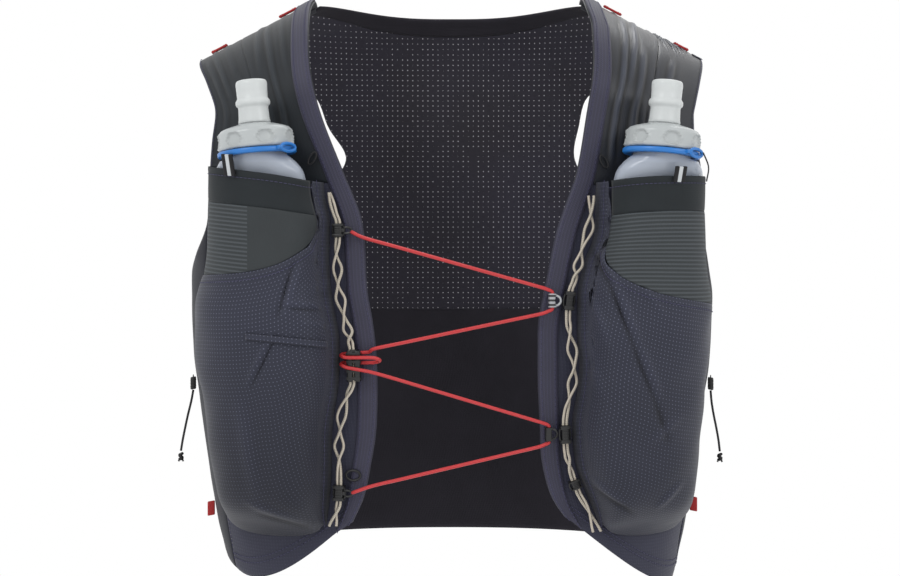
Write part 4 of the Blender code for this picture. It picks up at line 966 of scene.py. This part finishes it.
# flask pockets; folds in mm from the shoulder seat, seen from the front
pocket = {
    "end": -0.838, "sag": -0.022, "meshShare": 0.96, "bandShare": 0.058, "columns": 118, "rows": 150,
    "acrossColumns": 70, "bandRows": 16, "meshRows": 46, "stripColumns": 12, "strip": 0.020, "tuck": 0.0080,
    "foldScale": 1.5, "bandRoll": 0.0005, "meshSlack": 0.0007, "innerFade": (0.16, 0.22),
    "edgeFade": (0.06, 0.08, 0.05), "footFade": (0.05, 0.03), "shadeZ": -0.200, "shadeOver": 0.11,
    "shadeBy": {-1: 0.45, 1: 0.26}, "creaseShade": (0.42, 0.16), "stitchLift": 0.0016,
    -1: [(-104, -160, -114, -196, 1.6, -1.0), (-100, -162, -110, -196, 2.2, 0.9),
         (-112, -190, -86, -192, 1.2, -0.8), (-110, -187, -84, -189, 1.6, 0.7),
         (-100, -200, -70, -203, 1.4, 0.6), (-92, -176, -70, -170, 2.4, 0.9),
         (-90, -182, -68, -178, 1.6, -0.7), (-98, -148, -84, -162, 2.0, 0.8),
         (-115.6, -207.9, -131.4, -241.4, 1.1, -1.1), (-118.6, -208.5, -134.0, -240.4, 1.8, 1.0),
         (-84, -226, -72, -300, 4.0, 0.8), (-140, -250, -128, -320, 5.0, 0.8),
         (-136, -318, -100, -330, 2.2, 0.9), (-128, -326, -96, -336, 1.6, -0.8),
         (-92, -300, -74, -318, 2.0, 0.8)],
    1: [(92, -148, 102.5, -172, 2.0, -1.1), (102.5, -172, 117.6, -212, 2.0, -1.2),
        (117.6, -212, 132.7, -250, 2.0, -1.0), (132.7, -250, 142, -278, 2.2, -0.8),
        (96, -146, 107, -172, 2.2, 0.9), (107, -172, 122, -212, 2.4, 1.0),
        (122, -212, 137, -250, 2.6, 0.9), (88, -170, 104, -214, 2.6, 0.8),
        (86, -196, 100, -250, 3.0, 0.8), (112, -158, 140, -196, 2.0, 0.7),
        (90, -300, 112, -318, 2.2, 1.0), (94, -308, 120, -326, 1.8, -0.9),
        (136, -322, 152, -306, 2.2, 0.9), (128, -280, 150, -262, 2.6, 0.6)],
}


def mouthAt(side, u):
    return readRows(mouthRows, 1 if side < 0 else 3, u)


def seamAt(side, u):
    return readRows(mouthRows, 2 if side < 0 else 4, u)


def fadeTo(edge, width):
    return np.clip(edge / width, 0, 1)


pocketLines = {}
bandShare, meshShare = pocket["bandShare"], pocket["meshShare"]
for side, tag in sides:
    u = np.linspace(0, meshShare, pocket["acrossColumns"])[None, :]
    down = np.linspace(0, 1, pocket["bandRows"])[:, None]
    points, normals = pocketSheet(side, u, (mouthAt(side, u) - bandShare * down) * tall)
    roll = pocket["bandRoll"] * np.exp(-(down / 0.12) ** 2) + 0 * u
    points = points + normals * (roll + softNoise(points, 24, 0.35, 5))[..., None]
    clothShell("pocketBand" + tag, points, normals, form["tape"], [bandKnit], "pocket_band" + tag,
               "pocket_mesh")
    pocketLines[side] = [points[3] + normals[3] * 0.0015]

    down = np.linspace(0, 1, pocket["meshRows"])[:, None]
    top = mouthAt(side, u) - bandShare
    points, normals = pocketSheet(side, u, mix(top, np.minimum(seamAt(side, u), top - 0.004), down) * tall)
    slack = pocket["meshSlack"] * np.sin(np.pi * down) + 0 * u
    points = points + normals * (slack + softNoise(points, 26, 0.5, 6))[..., None]
    clothShell("pocketMesh" + tag, points, normals, form["tape"] * 0.9, [pocketMeshes[side]],
               "pocket_mesh" + tag, "pocket_mesh")

    count = pocket["columns"] - pocket["stripColumns"]
    u = np.concatenate([np.linspace(0, meshShare, count),
                        np.linspace(meshShare + 0.004, 1.0, pocket["stripColumns"])])[None, :]
    under = np.minimum(seamAt(side, u), mouthAt(side, u) - bandShare - pocket["tuck"])
    start = mix(under, mouthAt(side, u), fadeTo(u - meshShare, pocket["strip"]))
    end = pocket["end"] + pocket["sag"] * 4 * u * (1 - u)
    down = np.linspace(0, 1, pocket["rows"])[:, None]
    points, normals = pocketSheet(side, u, mix(start, end, down ** 0.9) * tall)
    outerU, innerU, foot = pocket["edgeFade"]
    inside = fadeTo(u, outerU) * fadeTo(1 - u, innerU) * fadeTo(1 - down, foot)
    crease = creaseField(points, pocket[side]) * pocket["foldScale"]
    fold = crease + softNoise(points, 34, 1.1, 7 + side)
    outerU, innerU = pocket["innerFade"]
    fold = np.where(fold < 0, fold * fadeTo(u, outerU) * fadeTo(1 - u, innerU), fold)
    points = points + normals * (fold * inside)[..., None]
    # painted shade: the colour darkens towards the pocket's bottom, more on the left, and in the crease
    # valleys; painted highlight on the crease ridges
    low = fadeTo(pocket["shadeZ"] - points[..., 2], pocket["shadeOver"]) * pocket["shadeBy"][side]
    shade = np.clip(1.0 - low + crease / mm * np.where(crease < 0, *pocket["creaseShade"]), 0.35, 1.5)
    sideU, foot = pocket["footFade"]
    sunk = np.clip(1 - np.minimum(np.minimum(u / sideU, (1 - u) / sideU), (1 - down) / foot), 0, 1)
    points = points - normals * (sunk * 3 * form["gap"] * 0.9)[..., None]
    normals = gridNormals(points, normals)
    clothShell("lowerPocket" + tag, points, normals, form["tape"], [pocketRipstop],
               "lower_pocket" + tag, "pocket_ripstop", shade=shade)
    pocketLines[side] += [points[3][:count] + normals[3][:count] * pocket["stitchLift"],
                          points[:, -4] + normals[:, -4] * pocket["stitchLift"]]

# welt across the left lower pocket: heights at both ends, depth, crown
welt = {"startShare": 6 / 11, "outZ": -0.516, "inZ": -0.530, "depth": 0.011, "crown": 0.0004, "thick": 0.0010}
share = np.linspace(0, 1, 40)[None, :]
down = np.linspace(0, 1, 12)[:, None]
u = meshShare * mix(welt["startShare"], 1.0, share)
z = (mix(welt["outZ"], welt["inZ"], share) - welt["depth"] * down) * tall
points, normals = pocketSheet(-1, u, z)
arch = np.sin(np.pi * down) + 0 * u
points = points + normals * (welt["crown"] * arch)[..., None]
# painted shade along the welt's edges and painted highlight on its crown, through the shade attribute
clothShell("pocketWelt", points, normals, welt["thick"], [pocketRipstop], "pocket_welt_l", "panel_cloth",
           lift=form["tape"] + form["gap"], shade=0.8 + 0.3 * arch)
print("pockets done")

# soft flasks: film body, neck, screw cap with hexagon grips, blue ring and bite valve
flask = {
    "halfWidth": 0.0332, "halfDepth": 0.0200, "wall": 0.0010, "length": 0.215, "neckRadius": 0.0195,
    "neckHeight": 0.0130, "shoulderDrop": 0.0042, "capRadius": 0.0258, "capHeight": 0.0170,
    "ringHeight": 0.0034, "valveRadius": 0.0103, "valveHeight": 0.0290, "around": 126, "neckWall": 0.0016,
    "grips": 7, "gripHeight": 0.0062, "gripSize": 4.8, "gripEdge": (0.90, 0.50), "gripDip": 0.0010,
    "gripSink": 0.0007, "inset": 0.0004, "waist": 0.16, "dent": (0.0005, 0.10, 0.07), "capGap": 0.0003,
    "valveGap": 0.0007, "pull": (0.0070, 0.0026, 0.0011),
}
# flask film: share of the length, share of the half width, share of the half depth
flaskBody = [
    (0.000, 0.800, 0.980), (0.030, 0.940, 0.940), (0.075, 0.980, 0.920), (0.160, 0.980, 0.960),
    (0.500, 1.000, 0.980), (0.780, 1.000, 0.980), (0.910, 0.960, 0.900), (0.970, 0.820, 0.620),
    (1.000, 0.600, 0.180),
]


def ringAt(leanAt, turn, radius, height):
    local = np.stack([radius * np.cos(turn), radius * np.sin(turn), np.full_like(turn, height)], -1)
    return local @ np.array(leanAt.to_3x3()).T + np.array(leanAt.translation)


def turnedRings(leanAt, profile, shaped=None):
    turn = np.linspace(0, math.tau, flask["around"], endpoint=False)
    return [ringAt(leanAt, turn, radius + (shaped(turn, radius, height) if shaped else 0.0), height)
            for radius, height in profile]


def gripShape(turn, radius, height):
    # a raised hexagon outline round the cap's wall at each grip
    if radius < flask["neckRadius"] * 1.2:
        return 0 * turn
    cell = math.tau / flask["grips"]
    dx = ((turn + cell / 2) % cell - cell / 2) * flask["capRadius"] / mm
    dz = (height - flask["gripHeight"]) / mm
    hexagon = np.maximum(np.abs(dz) * 0.5 + np.abs(dx) * 0.74, np.abs(dz) * 1.05)
    high, width = flask["gripEdge"]
    edge = high * np.exp(-((hexagon - flask["gripSize"]) / width) ** 2) * mm
    return edge - flask["gripDip"] * (hexagon < flask["gripSize"] - 0.3) - flask["gripSink"]


for side, tag in sides:
    lean = leanFrame(side)
    downs = np.concatenate([np.linspace(0, 0.10, 16), np.linspace(0.12, 0.90, 28),
                            np.linspace(0.92, 1.0, 10)])
    turn = np.linspace(0, math.tau, flask["around"], endpoint=False)
    outer, inner = [], []
    for down in downs:
        z = lean.translation.z - flask["ringHeight"] - flask["shoulderDrop"] - down * flask["length"]
        base, across, out = flaskAxes(side, np.array(z))
        blend = max(0.0, 1 - down / flask["waist"]) ** 1.5
        middle = base + out * (2 * form["gap"] + flask["halfDepth"])
        lined = np.array(lean @ Vector((0.0, 0.0, z - lean.translation.z)))
        middle = mix(middle, np.array([lined[0], lined[1], z]), blend)
        wideShare, deepShare = (float(readRows(flaskBody, c, down)) for c in (1, 2))
        high, at, width = flask["dent"]
        dent = high * math.exp(-((down - at) / width) ** 2) * np.sin(9 * turn + 14 * down) - flask["inset"]
        for rings, thin in ((outer, 0.0), (inner, flask["wall"])):
            a = flask["halfWidth"] * wideShare - thin + dent
            b = flask["halfDepth"] * deepShare - thin + dent
            lift = thin if down > 0.99 else 0.0
            rings.append(middle + np.outer(a * np.cos(turn), across) + np.outer(b * np.sin(turn), out)
                         + upward * lift)
    base, across, out = (Vector(p) for p in flaskAxes(side, np.array(lean.translation.z)))
    local = lean.inverted().to_3x3() @ across
    start = math.atan2(local.y, local.x)
    spin = 1.0 if across.cross(out).z > 0 else -1.0
    r, h, n = flask["capRadius"], flask["capHeight"], flask["neckRadius"]
    foot, bore = -flask["ringHeight"] - 0.0012, n - flask["neckWall"]
    neck = [ringAt(lean, start + spin * turn, radius, height)
            for radius, height in ((n, foot), (n, flask["neckHeight"]), (bore, flask["neckHeight"]),
                                   (bore, foot))]
    ringSolid("flask" + tag, outer[::-1] + neck + inner, [flaskFilm], "flask" + tag)

    wall = [(r - 0.0010, 0.0), (r - 0.0003, 0.0006), (r, 0.0016)]
    wall += [(r - 0.0004 * k / 18, 0.0016 + (h * 0.62 - 0.0016) * k / 18) for k in range(1, 19)]
    wall += [(r * 0.972, h * 0.685), (r * 0.935, h * 0.735), (r * 0.90, h * 0.765)]
    cone = [(mix(r * 0.88, flask["valveRadius"] * 1.16, k / 6), mix(h * 0.785, h * 0.985, (k / 6) ** 0.8))
            for k in range(7)]
    inside = [(flask["valveRadius"] * 1.12, h), (0.0030, h), (0.0030, flask["neckHeight"] + 0.0008),
              (n + 0.0005, flask["neckHeight"] + 0.0008), (n + 0.0005, 0.0)]
    lifted = lean @ Matrix.Translation((0, 0, flask["capGap"]))
    ringSolid("flaskCap" + tag, turnedRings(lifted, wall + cone + inside, gripShape), [capFrosted],
              "flask_cap" + tag, body="cap" + tag, closed=True)

    seat = lean @ Matrix.Translation((0, 0, h + flask["valveGap"]))
    v, t = flask["valveRadius"], flask["valveHeight"]
    rows = [(0.00, 0.995), (0.02, 1.03), (0.06, 1.03), (0.09, 1.00), (0.34, 0.965), (0.385, 0.99),
            (0.415, 1.09), (0.46, 1.12), (0.51, 1.11), (0.545, 1.05), (0.58, 0.985), (0.75, 1.00),
            (0.90, 1.02), (0.955, 0.99), (0.985, 0.93), (1.0, 0.80)]
    profile = [(v * 0.50, 0.0)] + [(v * b, t * a) for a, b in rows]
    profile += [(0.0012, t), (0.0012, t - 0.0028), (v * 0.50, t - 0.0028)]
    ringSolid("biteValve" + tag, turnedRings(seat, profile), [valveSilicone], "bite_valve" + tag,
              body="cap" + tag, closed=True)

    w = flask["ringHeight"]
    profile = [(n + 0.0005, -w - 0.0003), (r - 0.0002, -w - 0.0003), (r + 0.0004, -w + 0.0004),
               (r + 0.0004, -0.0010), (r - 0.0002, -0.0003), (n + 0.0005, -0.0003)]
    ringSolid("capRing" + tag, turnedRings(lean, profile), [ringBlue], "cap_ring" + tag,
              closed=True)

    # flat pull loop on the ring, at the right of each cap
    axis = np.array(lean.to_3x3())[:, 2]
    toRight = unit(np.array([0.80, -0.60, 0.0]))
    toRight = unit(toRight - axis * np.dot(toRight, axis))
    tangent = np.cross(axis, toRight)
    shape = bmesh.new()
    mid = np.array(lean.translation) + toRight * (r + 0.0012) - axis * 0.0016
    addLoop(shape, mid, tangent, axis, *flask["pull"], count=36)
    addBlock(shape, mid - toRight * 0.0010 - tangent * 0.0072, (toRight, tangent, axis),
             (0.0016, 0.0020, 0.0013), 0.0006)
    finishShape("ringPull" + tag, shape, [ringBlue])
print("flasks done")

# twisted cream cords down both fronts: height, x, turns, spread of the loops
daisy = {"diameter": 0.0019, "lift": 0.0088, "orbit": 0.0024, "steps": 260}
daisyRows = {
    -1: [
        (-0.284, 0.444, -0.25, 1.5), (-0.318, 0.424, 0.00, 1.0), (-0.334, 0.412, 0.0, 1.0),
        (-0.362, 0.412, 0.0, 1.0), (-0.390, 0.418, 0.25, 1.6), (-0.413, 0.413, 0.50, 2.4),
        (-0.440, 0.411, 0.75, 1.4), (-0.462, 0.402, 1.00, 2.6), (-0.490, 0.389, 1.25, 1.4),
        (-0.512, 0.376, 1.50, 2.4), (-0.538, 0.364, 2.00, 1.0), (-0.545, 0.362, 2.00, 1.0),
        (-0.597, 0.360, 2.00, 1.0), (-0.604, 0.362, 2.00, 1.0), (-0.625, 0.382, 2.25, 2.0),
        (-0.654, 0.399, 2.50, 2.4), (-0.680, 0.405, 2.75, 1.4), (-0.704, 0.408, 3.00, 2.6),
        (-0.730, 0.408, 3.25, 1.3), (-0.766, 0.408, 3.50, 1.0), (-0.800, 0.410, 3.50, 1.0),
        (-0.818, 0.420, 3.75, 1.4), (-0.838, 0.431, 4.00, 2.0),
    ],
    1: [
        (-0.289, 0.503, -0.50, 1.5), (-0.316, 0.502, -0.25, 1.2), (-0.345, 0.494, 0.00, 2.4),
        (-0.376, 0.470, 0.25, 1.3), (-0.405, 0.455, 0.50, 2.4), (-0.432, 0.440, 1.00, 1.0),
        (-0.446, 0.428, 1.00, 1.0), (-0.482, 0.418, 1.00, 1.0), (-0.496, 0.418, 1.00, 1.0),
        (-0.516, 0.424, 1.25, 1.5), (-0.544, 0.433, 1.50, 2.6), (-0.571, 0.440, 1.75, 1.3),
        (-0.598, 0.434, 2.00, 2.4), (-0.622, 0.424, 2.25, 1.3), (-0.645, 0.412, 2.50, 1.0),
        (-0.664, 0.407, 2.50, 1.0), (-0.704, 0.410, 2.50, 1.0), (-0.716, 0.413, 2.50, 1.0),
        (-0.734, 0.422, 2.75, 1.5), (-0.753, 0.434, 3.00, 1.0), (-0.759, 0.438, 3.00, 1.0),
        (-0.777, 0.452, 3.00, 1.0), (-0.784, 0.458, 3.00, 1.0), (-0.812, 0.492, 3.25, 1.5),
        (-0.848, 0.523, 3.50, 2.4),
    ],
}
for side, tag in sides:
    rows = daisyRows[side]
    at = np.linspace(rows[0][0], rows[-1][0], daisy["steps"])
    share, turns, spread = (readRows(rows, c, at) for c in (1, 2, 3))
    middle, across, normal, up = panelSpot(side, share, at * tall, daisy["lift"])
    phase = (math.tau * turns)[:, None]
    half = daisy["orbit"] / 2
    offset = across * half * spread[:, None] * np.cos(phase) + normal * half * np.sin(phase)
    ringSolid("daisyCord" + tag, tubeShape(middle - offset, daisy["diameter"] / 2, 12), [creamBraid],
              "daisy_cord" + tag)
    ringSolid("daisyWave" + tag, tubeShape(middle + offset, daisy["diameter"] / 2 * 0.92, 12),
              [creamSmooth], "daisy_wave" + tag)

# red lacing: height, x with its sign, lift in mm over the panel
lace = {"diameter": 0.0024, "steps": 5, "longStep": 0.03}
laceRows = [
    (-0.3500, -0.3655, 8.8), (-0.3600, -0.3200, 8.4), (-0.4420, 0.3200, 8.8),
    (-0.4462, 0.3480, 8.8), (-0.4490, 0.3590, 8.8), (-0.4530, 0.3620, 8.8),
    (-0.4740, 0.3620, 8.8), (-0.4780, 0.3590, 8.8), (-0.4805, 0.3480, 8.8),
    (-0.4850, 0.3200, 8.8), (-0.5420, -0.2800, 8.0), (-0.5475, -0.3000, 5.2),
    (-0.5490, -0.3200, 4.5), (-0.5510, -0.3860, 4.5), (-0.5515, -0.3980, 6.6),
    (-0.5530, -0.4000, 9.6), (-0.5545, -0.3890, 12.9), (-0.5560, -0.3700, 13.5),
    (-0.5560, -0.2900, 13.3), (-0.5580, -0.2680, 12.4), (-0.5610, -0.2610, 9.6),
    (-0.5640, -0.2700, 6.2), (-0.5660, -0.3000, 4.6), (-0.5660, -0.3860, 4.5),
    (-0.5665, -0.3980, 6.6), (-0.5680, -0.4000, 9.6), (-0.5700, -0.3890, 12.9),
    (-0.5730, -0.3700, 13.5), (-0.5780, -0.3100, 13.3), (-0.5830, -0.2700, 11.0),
    (-0.5900, -0.2200, 9.0), (-0.6620, 0.3080, 8.8), (-0.6662, 0.3360, 8.8),
    (-0.6690, 0.3470, 8.8), (-0.6730, 0.3500, 8.8), (-0.6940, 0.3500, 8.8),
    (-0.6980, 0.3470, 8.8), (-0.7005, 0.3360, 8.8), (-0.7050, 0.3080, 8.8),
    (-0.7700, -0.2900, 8.6), (-0.7820, -0.3630, 8.8),
]
spots = []
for z, share, lift in laceRows:
    spots.append(panelSpot(-1 if share < 0 else 1, abs(share), z * tall, lift * mm)[0])
route = [spots[0]]
for a, b in zip(spots, spots[1:]):
    parts = 1 if np.linalg.norm(b - a) < lace["longStep"] else 6
    route += [mix(a, b, k / parts) for k in range(1, parts + 1)]
ringSolid("laceCord", tubeShape(smoothRoute(route, lace["steps"]), lace["diameter"] / 2, 12), [laceBraid],
          "lace_cord")
print("cords done")

# hooks, lock, rings and clip on the cords: node, side, top and bottom height, half width in mm
hardware = {
    "hookUpper": ("hook_upper_l", -1, -0.336, -0.360, 4.6),
    "cordLock": ("cord_lock_l", -1, -0.545, -0.597, 4.8),
    "hookLower": ("hook_lower_l", -1, -0.768, -0.796, 4.6),
    "ringUpper": ("ring_upper_r", 1, -0.448, -0.480, 4.2),
    "ringLower": ("ring_lower_r", 1, -0.668, -0.700, 4.2),
    "clip": ("clip_r", 1, -0.760, -0.776, 4.4),
}
for name, (node, side, top, end, half) in hardware.items():
    ends = []
    for at in (top, end):
        ends.append(panelSpot(side, readRows(daisyRows[side], 1, at), at * tall, daisy["lift"]))
    up = unit(ends[0][0] - ends[1][0])
    across = unit(np.cross(up, ends[0][2]))
    normal = np.cross(across, up)
    middle = (ends[0][0] + ends[1][0]) / 2
    high = np.linalg.norm(ends[0][0] - ends[1][0]) / 2
    width = half * mm
    axes = (across, normal, up)
    shape = bmesh.new()
    if name == "cordLock":
        middle = middle + across * (width - 0.0036)
        for away in (-0.52, 0.52):
            addBlock(shape, middle + across * width * away, axes, (width * 0.44, 0.0026, high), 0.0011, 3)
        for k in (-0.78, -0.30, 0.30, 0.78):
            addBlock(shape, middle + up * high * k, axes, (width, 0.0028, high * 0.10), 0.0004)
        addBlock(shape, middle + up * high * 0.97, axes, (width * 0.5, 0.0022, high * 0.10), 0.0005)
    else:
        addBlock(shape, middle, axes, (width * 0.62, 0.0023, high * 0.96), 0.0009, 3)
        for k in (-0.72, 0.72):
            addBlock(shape, middle + up * high * k, axes, (width * 0.86, 0.0028, high * 0.20), 0.0006, 2)
        toLace = -side * across
        for away, reach, deep, thick in ((0.52, 0.42, 0.74, 0.00075), (-0.50, 0.34, 0.50, 0.00060)):
            addLoop(shape, middle + toLace * width * away, across, up, width * reach, high * deep, thick)
        if name.startswith("hook"):
            addLoop(shape, middle + toLace * 0.0058, across, up, 0.0033, 0.0020, 0.0008)
            addBlock(shape, middle + toLace * 0.0030, axes, (0.0016, 0.0016, 0.0012), 0.0004)
        for k in (-0.30, 0.0, 0.30):
            addBlock(shape, middle + up * high * k + normal * 0.0020, axes,
                     (width * 0.40, 0.0007, high * 0.07), 0.0002)
    finishShape(name, shape, [blackMoulded], node, fresh=False)


def stripedPlastic():
    # silvery bar with dark moulded bands across it
    mat, tree, shader = newFinish("silver banded plastic", "#b9babd", 0.3)
    bandPitch = 0.0030
    bands = mathNode(tree, "SINE", mathNode(tree, "MULTIPLY", splitCoords(tree)[2], math.tau / bandPitch))
    paintMix(tree, shader, mathNode(tree, "GREATER_THAN", bands, 0.1), "#9d9ea2", "#222225")
    return mat


silverBanded = stripedPlastic()
whiteMoulded = mouldedFinish("white moulded nylon", "#aeb0b3", 0.35)
gliderRows = {"gliderUpper": ("glider_upper_r", -0.4515, -0.4755, 0.3620, silverBanded),
              "gliderLower": ("glider_lower_r", -0.6715, -0.6955, 0.3500, blackMoulded)}
for name, (node, top, end, share, finish) in gliderRows.items():
    middle, across, normal, up = panelSpot(1, share, (top + end) / 2 * tall, 0.0088)
    high = (top - end) * tall / 2
    shape = bmesh.new()
    addBlock(shape, middle - across * 0.0004, (across, normal, up), (0.0021, 0.0024, high * 0.98), 0.0008, 3)
    for k in (-0.8, 0.8):
        addBlock(shape, middle + up * high * k - across * 0.0002, (across, normal, up),
                 (0.0024, 0.0026, high * 0.14), 0.0004)
    finishShape(name, shape, [finish], node, fresh=False)
    shape = bmesh.new()
    addLoop(shape, middle + across * 0.0014, across, up, 0.0042, high * 0.72, 0.00075, (-0.25, 0.25), 18)
    finishShape(name + "Bow", shape, [whiteMoulded if name == "gliderUpper" else blackMoulded])

middle, across, normal, up = panelSpot(-1, 0.362, -0.754 * tall, 0.0046)
shape = bmesh.new()
addLoop(shape, middle, across, up, 0.0048, 0.0034, 0.0008, count=40)
finishShape("ringLowerLeft", shape, [blackMoulded], "ring_lower_l")
print("fastenings done")

# red tape tabs on the shoulders and sides: node, side, x, drop, length
tabs = {
    "shoulderTabAl": ("shoulder_tab_a_l", -1, 0.895, 0.000, 0.0125),
    "shoulderTabBl": ("shoulder_tab_b_l", -1, 0.628, 0.004, 0.0140),
    "shoulderTabAr": ("shoulder_tab_a_r", 1, 0.612, 0.010, 0.0140),
    "shoulderTabBr": ("shoulder_tab_b_r", 1, 0.880, 0.004, 0.0115),
}
for name, (node, side, share, drop, length) in tabs.items():
    turn = (share * wide / form["shoulderHalfWidth"]) ** (form["sectionPower"] / 2)
    angle = side * math.degrees(math.asin(turn))
    point, normal = place(angle, drop)
    along = unit(place(angle + 1.5, drop)[0] - place(angle - 1.5, drop)[0])
    other = unit(np.cross(normal, along))
    shape = bmesh.new()
    at = point + normal * (form["cloth"] + form["gap"] + 0.0011)
    addBlock(shape, at, (along, other, normal), (length / 2, 0.0028, 0.00085), 0.0006, 3)
    for k in (-0.80, -0.60, 0.60, 0.80):
        addBlock(shape, at + along * length / 2 * k, (along, other, normal),
                 (0.0003, 0.0027, 0.0011), 0.00015)
    finishShape(name, shape, [tabWoven], node, fresh=False)
for side, tag in sides:
    point, normal = place(side * 84.0, edgeDrop(outerRows, side, -0.800) + 0.004)
    point = point + normal * (form["cloth"] + form["gap"] + 0.0030)
    other = unit(np.cross(upward, normal))
    shape = bmesh.new()
    addBlock(shape, point, (other, normal, upward), (0.0010, 0.0026, 0.0050), 0.0007, 3)
    finishShape("sideTab" + tag, shape, [tabWoven], "side_tab" + tag, fresh=False)

# black tape loops over the pocket mouths, reflective down the middle: share across, foot, length
loopTabs = {-1: (0.435, -0.251, 0.0150), 1: (0.495, -0.261, 0.0110)}
for side, tag in sides:
    u, footZ, length = loopTabs[side]
    grid = pocketAt(side, np.array([[u - 0.02, u + 0.02]]), footZ * tall + np.array([[0.002], [-0.002]]))
    out = flaskAxes(side, np.array(footZ * tall))[2]
    point = grid.mean((0, 1))
    normal = unit(np.cross(grid[0, 1] - grid[0, 0], grid[1, 0] - grid[0, 0]))
    normal = normal if np.dot(normal, out) > 0 else -normal
    up = unit(upward + out * 0.35)
    across = unit(np.cross(up, normal))
    normal = np.cross(across, up)
    middle = point + normal * (form["tape"] + form["gap"] + 0.0014) + up * (length / 2 - 0.002)
    shape = bmesh.new()
    for away in (-1, 1):
        addBlock(shape, middle + across * 0.0029 * away, (across, normal, up),
                 (0.0014, 0.0008, length / 2), 0.0004)
    dark = len(shape.faces)
    addBlock(shape, middle, (across, normal, up), (0.0015, 0.00065, length / 2 - 0.0002), 0.0003)
    shape.faces.ensure_lookup_table()
    for face in shape.faces[dark:]:
        face.material_index = 1
    finishShape("loopTab" + tag, shape, [blackTape, reflectTape], "loop_tab" + tag,
                fresh=False)

# small elastic loops on the straps (x, height, lean), and the elastic from the right ring to its pocket
elastic = {-1: (0.514, -0.0905, 0.6), 1: (0.559, -0.0925, -0.6), "mouthU": 0.20, "thread": 0.0005}
for side, tag in sides:
    share, z, lean = elastic[side]
    middle, across, normal, up = panelSpot(side, share, z, 0.0040)
    tilted = unit(up + across * lean)
    shape = bmesh.new()
    addLoop(shape, middle, unit(np.cross(tilted, normal)), tilted, 0.0020, 0.0046, 0.0007, count=30)
    finishShape("elasticLoop" + tag, shape, [blackBraid])
lean = leanFrame(1)
start = np.array(lean @ Vector((0.0, 0.0, -0.0024)))
start = start + unit(np.array([0.86, -0.5, 0.0])) * (flask["capRadius"] + 0.0046)
mouthU = elastic["mouthU"]
end = pocketAt(1, np.array([mouthU]), np.array([mouthAt(1, mouthU) * tall - 0.003]))[0]
end = end + flaskAxes(1, np.array(-0.105))[2] * 0.0040
bow = (start + end) / 2 + np.array([0.0022, -0.0015, 0.0])
route = smoothRoute([start, bow, end], 10)
ringSolid("ringElastic", tubeShape(route, elastic["thread"], 8), [blackBraid])
print("tabs done")

# stitches: a short thread every few millimetres along each seam line, made by one node tree
stitch = {"Pitch": 0.0030, "Stitch Length": 0.0021, "Thread": 0.00045}


def stitchTree(finish):
    tree = bpy.data.node_groups.new("stitch row", "GeometryNodeTree")
    sockets = {}
    tree.interface.new_socket("Geometry", in_out="INPUT", socket_type="NodeSocketGeometry")
    for name in stitch:
        socket = tree.interface.new_socket(name, in_out="INPUT", socket_type="NodeSocketFloat")
        sockets[name] = socket.identifier
    tree.interface.new_socket("Geometry", in_out="OUTPUT", socket_type="NodeSocketGeometry")
    given = addNode(tree, "NodeGroupInput")
    result = addNode(tree, "NodeGroupOutput")
    curve = addNode(tree, "GeometryNodeMeshToCurve", None, {"Mesh": given.outputs["Geometry"]})
    spots = addNode(tree, "GeometryNodeCurveToPoints", {"mode": "LENGTH"},
                    {"Curve": curve.outputs[0], "Length": given.outputs["Pitch"]})
    turn = addNode(tree, "FunctionNodeAlignRotationToVector", {"axis": "Z"},
                   {"Vector": spots.outputs["Tangent"]})
    radius = mathNode(tree, "MULTIPLY", given.outputs["Thread"], 0.5)
    thread = addNode(tree, "GeometryNodeMeshCylinder", None,
                     {"Vertices": 6, "Radius": radius, "Depth": given.outputs["Stitch Length"]})
    placed = addNode(tree, "GeometryNodeInstanceOnPoints", None,
                     {"Points": spots.outputs["Points"], "Instance": thread.outputs["Mesh"],
                      "Rotation": turn.outputs[0]})
    real = addNode(tree, "GeometryNodeRealizeInstances", None, {"Geometry": placed.outputs[0]})
    painted = addNode(tree, "GeometryNodeSetMaterial", None,
                      {"Geometry": real.outputs[0], "Material": finish})
    tree.links.new(painted.outputs[0], result.inputs[0])
    return tree, sockets


def sew(name, lines, finish):
    tree, sockets = stitchTree(finish)
    verts, edges = [], []
    for line in lines:
        start = len(verts)
        verts += np.asarray(line).tolist()
        edges += [(start + k, start + k + 1) for k in range(len(line) - 1)]
    mesh = bpy.data.meshes.new(name + " line")
    mesh.from_pydata(verts, edges, [])
    guide = bpy.data.objects.new(name + " line", mesh)
    scene.collection.objects.link(guide)
    modifier = guide.modifiers.new("stitches", "NODES")
    modifier.node_group = tree
    for label, value in stitch.items():
        modifier[sockets[label]] = value
    bpy.context.view_layer.update()
    made = bpy.data.meshes.new_from_object(guide.evaluated_get(bpy.context.evaluated_depsgraph_get()))
    bpy.data.objects.remove(guide, do_unlink=True)
    obj = bpy.data.objects.new(name, made)
    scene.collection.objects.link(obj)
    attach(obj, "vest")
    return standFor(obj, None)


for side, tag in sides:
    sew("bindingStitches" + tag, tapeLines[side], seamThread)
    lines = list(pocketLines[side])
    u = np.linspace(0.03, 0.93, 90)
    for v in (1.968, 1.956):
        point, normal = frontAt(side, u, v)
        lines.append(point + normal * (form["cloth"] + 0.0004))
    v = np.linspace(0.03, 1.97, 200)
    point, normal = frontAt(side, 0.030, v)
    lines.append(point + normal * (form["cloth"] + 0.0006))
    sew("panelStitches" + tag, lines, seamThread)
print("stitches done")

# pale floor
bpy.ops.mesh.primitive_plane_add(size=2.4, location=(0.0, 0.0, studio["floorZ"]))
floor = bpy.context.object
floor.name = "floor"
floor.data.materials.append(newFinish("pale studio floor", "#f2f2f2", 0.9)[0])
